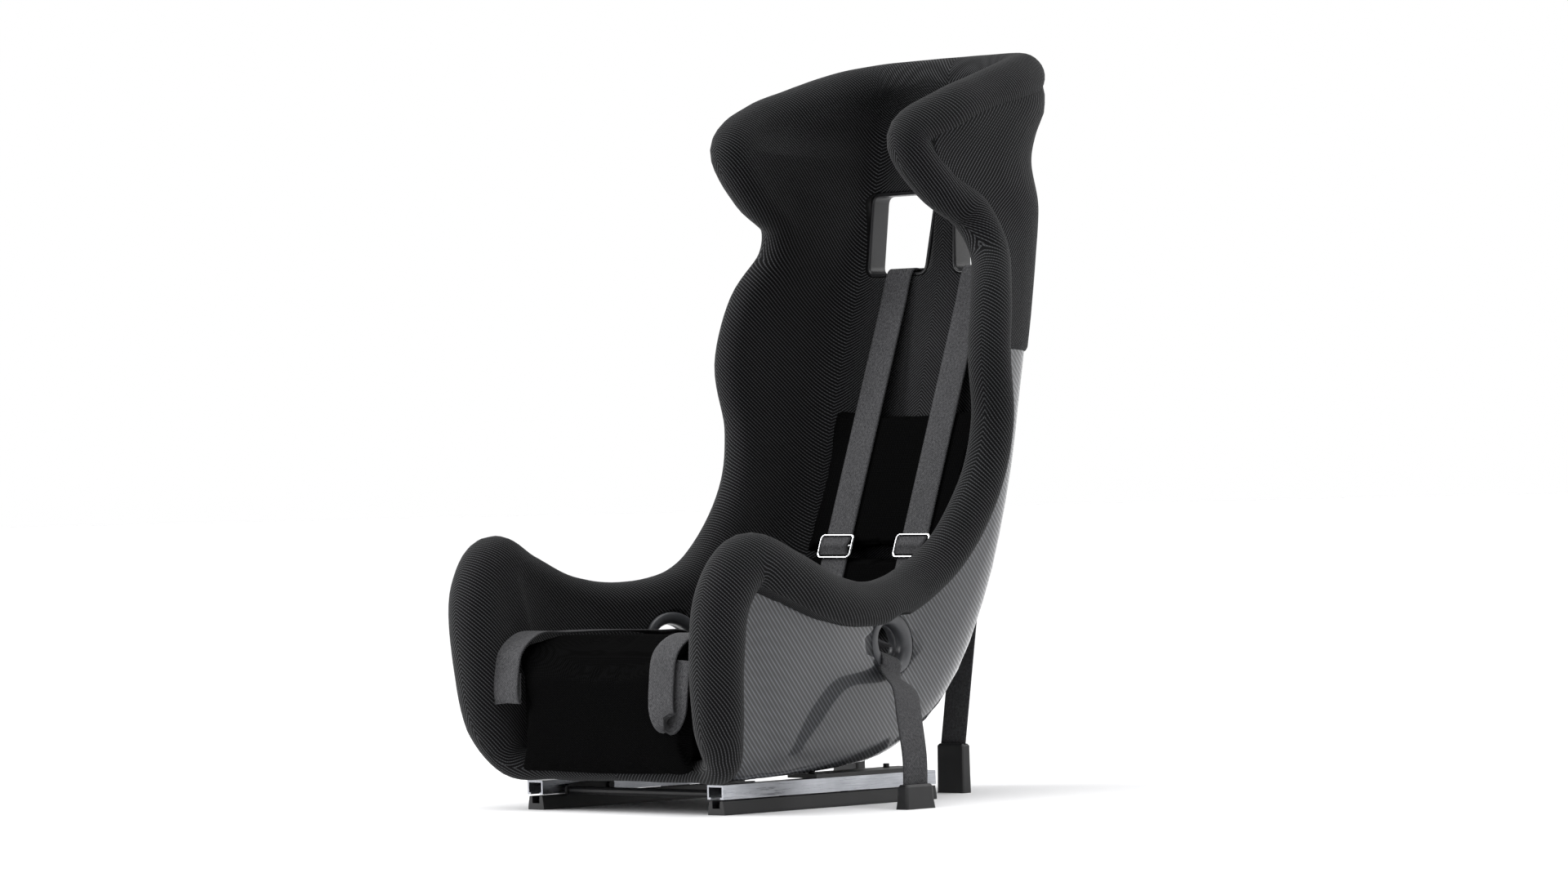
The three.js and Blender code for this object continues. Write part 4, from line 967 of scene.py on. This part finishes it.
# middle lines on the left side, in millimetres
straight = [(1, 0, 0)]
frontBelt = [
    (66.5, 326.1, 647.4), (66.5, 326.1, 668.4), (66.5, 320.5, 675.4), (66.5, 306.9, 675.4),
    (66.5, 293.4, 675.4), (66.5, 287.7, 668.4), (66.5, 273.4, 627.0), (66.5, 226.7, 500.0),
    (66.5, 165.0, 332.0), (66.5, 129.7, 236.0),
]
rearBelt = [
    (66.5, 326.1, 645.8), (72.9, 294.3, 500.5), (79.3, 262.6, 355.2), (85.6, 230.8, 209.9),
    (92.5, 198.0, 60.0),
]
holeAlong = (-0.154, 0.951, -0.267)
throat = [(-14, 2), (-16, 10), (-24, 17), (-38, 20)]  # over the hole's lower rim: up the ring, and out


def overRim(short, out):
    p = (holeMiddle + holeShort * (short / 1000) + holeOut * (out / 1000)) * 1000
    return (p.x, p.y, p.z)


outerLap = [
    (297.0, -95.0, 26.0), (297.0, -95.0, 60.0), (280.0, -84.0, 105.0), (254.0, -64.0, 142.0),
] + [overRim(short, out) for short, out in throat[::-1]]
outerLapAcross = [(0, 1, 0), (0, 1, 0), (0, 1, -0.04), (-0.06, 1, -0.12)] + [holeAlong] * 4
inHole = [(186.2, -29.6, 201.4), (165.9, -33.4, 199.4)]
leftLap = inHole + [
    (146, -66, 209.5), (139, -120, 213.5), (132, -200, 215.5), (127, -270, 217.5), (125, -316, 219),
    (122, -345, 199), (120, -352, 160), (121, -353, 124), (126, -350, 113), (133, -347, 124),
    (139, -346, 160), (141, -343, 190),
]
rightLap = inHole + [
    (147, -72, 212), (140, -120, 217.5), (137, -200, 220.5), (142, -270, 220.5), (149, -316, 220),
    (152, -344, 199), (153, -351, 172), (153, -353, 146), (153, -350, 136), (154, -347, 146),
    (155, -346, 160), (155, -345, 172),
]
innerLapAcross = [holeAlong, holeAlong, (-0.75, 0.65, 0.1), (-1, 0.2, 0)] + [(-1, 0, 0)] * 10
for side in ("left", "right"):
    turnRound = flipped if side == "right" else list
    name = side.capitalize()
    front = strapPiece("shoulderStrap" + name, turnRound(frontBelt), turnRound(straight * 10), 45, 120)
    rear = strapPiece("anchorStrap" + name, turnRound(rearBelt), turnRound(straight * 5), 42, 60)
    outer = strapPiece("lapStrap" + name, turnRound(outerLap), turnRound(outerLapAcross), 43, 90)
    lapLine = leftLap if side == "left" else rightLap
    inner = strapPiece("lapEnd" + name, turnRound(lapLine), turnRound(innerLapAcross), 43, 150)
    for piece, node in ((front, "shoulder_belt_front_"), (rear, "shoulder_belt_rear_"),
                        (outer, "lap_belt_outer_"), (inner, "lap_belt_inner_")):
        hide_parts(node + side)
    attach(front, "seat")
    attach(inner, "seat")
    foot, top = toMetres(turnRound(rearBelt)[-1]), toMetres(turnRound(rearBelt)[0])
    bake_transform(rear)
    ends = turnRound(outerLap)
    toMetres(ends[0])
    toMetres(ends[-1])
    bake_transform(outer)
print("straps made")

# three-bar adjusters of bent chromed wire, with the webbing lying over their middle bar
adjusterWire = {"wire": 0.0019, "corner": 0.0055, "long": 0.030, "rearLift": 0.0016, "slack": 8}
hump = [(-11.5, 0.4), (-8.5, 1.0), (-4.2, 2.6), (0, 4.4), (4.2, 2.6), (8.5, 1.0), (11.5, 0.4)]


def wireLoop(name, wide, long):
    deselectAll()
    bpy.ops.mesh.primitive_plane_add(size=1)
    loop = bpy.context.object
    loop.name = name
    loop.data.transform(Matrix.Diagonal((wide, long, 1, 1)))
    bpy.ops.object.mode_set(mode="EDIT")
    bpy.ops.mesh.select_all(action="SELECT")
    bpy.ops.mesh.bevel(affect="VERTICES", offset=adjusterWire["corner"], segments=6)
    bpy.ops.mesh.select_all(action="SELECT")
    bpy.ops.mesh.delete(type="ONLY_FACE")
    bpy.ops.object.mode_set(mode="OBJECT")
    bpy.ops.object.convert(target="CURVE")
    loop.data.bevel_depth = adjusterWire["wire"]
    loop.data.bevel_resolution = 4
    bpy.ops.object.convert(target="MESH")
    return bpy.context.object


def adjusterPiece(name, node, along, out, lift=0.0):
    # the node and the body that it rides on have the same name
    low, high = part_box(node)
    centre = (low + high) / 2 + out * lift
    wide = high.x - low.x - 2 * adjusterWire["wire"]
    frameWire = wireLoop(name, wide, adjusterWire["long"])
    deselectAll()
    bpy.ops.mesh.primitive_cylinder_add(vertices=16, radius=adjusterWire["wire"], depth=wide,
                                        rotation=(0, math.pi / 2, 0))
    bar = bpy.context.object
    applyPlace(bar)
    makeActive(frameWire)
    bar.select_set(True)
    bpy.ops.object.join()
    piece = bpy.context.object
    across = along.cross(out).normalized()
    basis = Matrix((across, along, out)).transposed().to_4x4()
    piece.data.transform(Matrix.Translation(centre) @ basis)
    for polygon in piece.data.polygons:
        polygon.use_smooth = True
    dress(piece, chromeWire, node, node)
    line = [centre * 1000 + along * run + out * rise for run, rise in hump]
    loop = strapPiece(name + "Loop", line, straight * 7, wide * 1000 - adjusterWire["slack"], 28)
    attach(loop, node)


frontAlong = Vector((0, cushions["strapSlope"], 1)).normalized()
frontOut = Vector((0, -1, cushions["strapSlope"])).normalized()
for side, sign in (("left", 1), ("right", -1)):
    name = side.capitalize()
    adjusterPiece("frontAdjuster" + name, f"front_adjuster_{side}", frontAlong, frontOut)
    run = Vector(rearBelt[0]) - Vector(rearBelt[-1])
    rearAlong = Vector((run.x * sign, run.y, run.z)).normalized()
    rearOut = (Vector((0, 1, 0)) - rearAlong * rearAlong.y).normalized()
    adjusterPiece("rearAdjuster" + name, f"rear_adjuster_{side}", rearAlong, rearOut, adjusterWire["rearLift"])
print("adjusters made")

# hard pieces that keep their own shape take a finish of their own
finishes = {
    "lower_rail": powderSteel, "upper_rail": satinRail, "slider": darkNylon, "seat_bracket": powderSteel,
    "bracket_bolt": powderSteel, "floor_bolt": powderSteel, "release_pin": powderSteel,
    "release_spring": chromeWire, "release_bar": powderSteel, "lap_anchor": powderSteel,
    "rear_anchor": powderSteel,
}
for nodeName, node in nodes.items():
    for start, finish in finishes.items():
        if nodeName.startswith(start):
            node.data.materials.clear()
            node.data.materials.append(finish)
print("finishes set")

# floor and lights
studio = {"floor": "#f4f4f5", "world": "#ffffff", "worldPower": 1.0, "domePower": 0.22, "ceiling": 2.9}
deselectAll()
bpy.ops.mesh.primitive_circle_add(vertices=96, radius=60, fill_type="NGON")
floor = bpy.context.object
floor.name = "studioFloor"
paper = newMaterial("mattPaper", studio["floor"], 0.9)
floor.data.materials.append(paper)
world = bpy.data.worlds.new("studioWorld")
world.use_nodes = True
world.node_tree.nodes["Background"].inputs[0].default_value = linearColour(studio["world"])
height = addNode(world, "TexCoord")
parts = addNode(world, "SeparateXYZ", {0: height.outputs["Generated"]})
fall = addNode(world, "MapRange", {"Value": parts.outputs["Z"]}, {
    "From Min": 0.12, "From Max": 0.4, "To Min": studio["worldPower"], "To Max": studio["domePower"]})
world.node_tree.links.new(fall.outputs[0], world.node_tree.nodes["Background"].inputs[1])
bpy.context.scene.world = world
bpy.context.scene.view_settings.view_transform = "Standard"


def softBox(name, place, aim, size, power):
    data = bpy.data.lights.new(name, "AREA")
    data.shape = "RECTANGLE"
    data.size, data.size_y = size
    data.energy = power
    lamp = bpy.data.objects.new(name, data)
    bpy.context.collection.objects.link(lamp)
    lamp.location = place
    lamp.rotation_euler = (Vector(aim) - Vector(place)).to_track_quat("-Z", "Y").to_euler()
    return lamp


softBox("topBox", (0.2, 0.1, 3.2), (0, 0, 0.4), (2.2, 2.2), 12)
softBox("leftBox", (-2.6, -2.2, 1.9), (0, 0, 0.5), (1.2, 2.2), 110)
softBox("rearBox", (1.6, 2.8, 2.0), (0, 0, 0.5), (1.6, 1.6), 26)
skyData = bpy.data.lights.new("ceilingGlow", "SUN")
skyData.energy = studio["ceiling"]
skyData.angle = math.radians(70)
sky = bpy.data.objects.new("ceilingGlow", skyData)
bpy.context.collection.objects.link(sky)
sky.rotation_euler = (math.radians(12), math.radians(10), 0)
print("lights set")
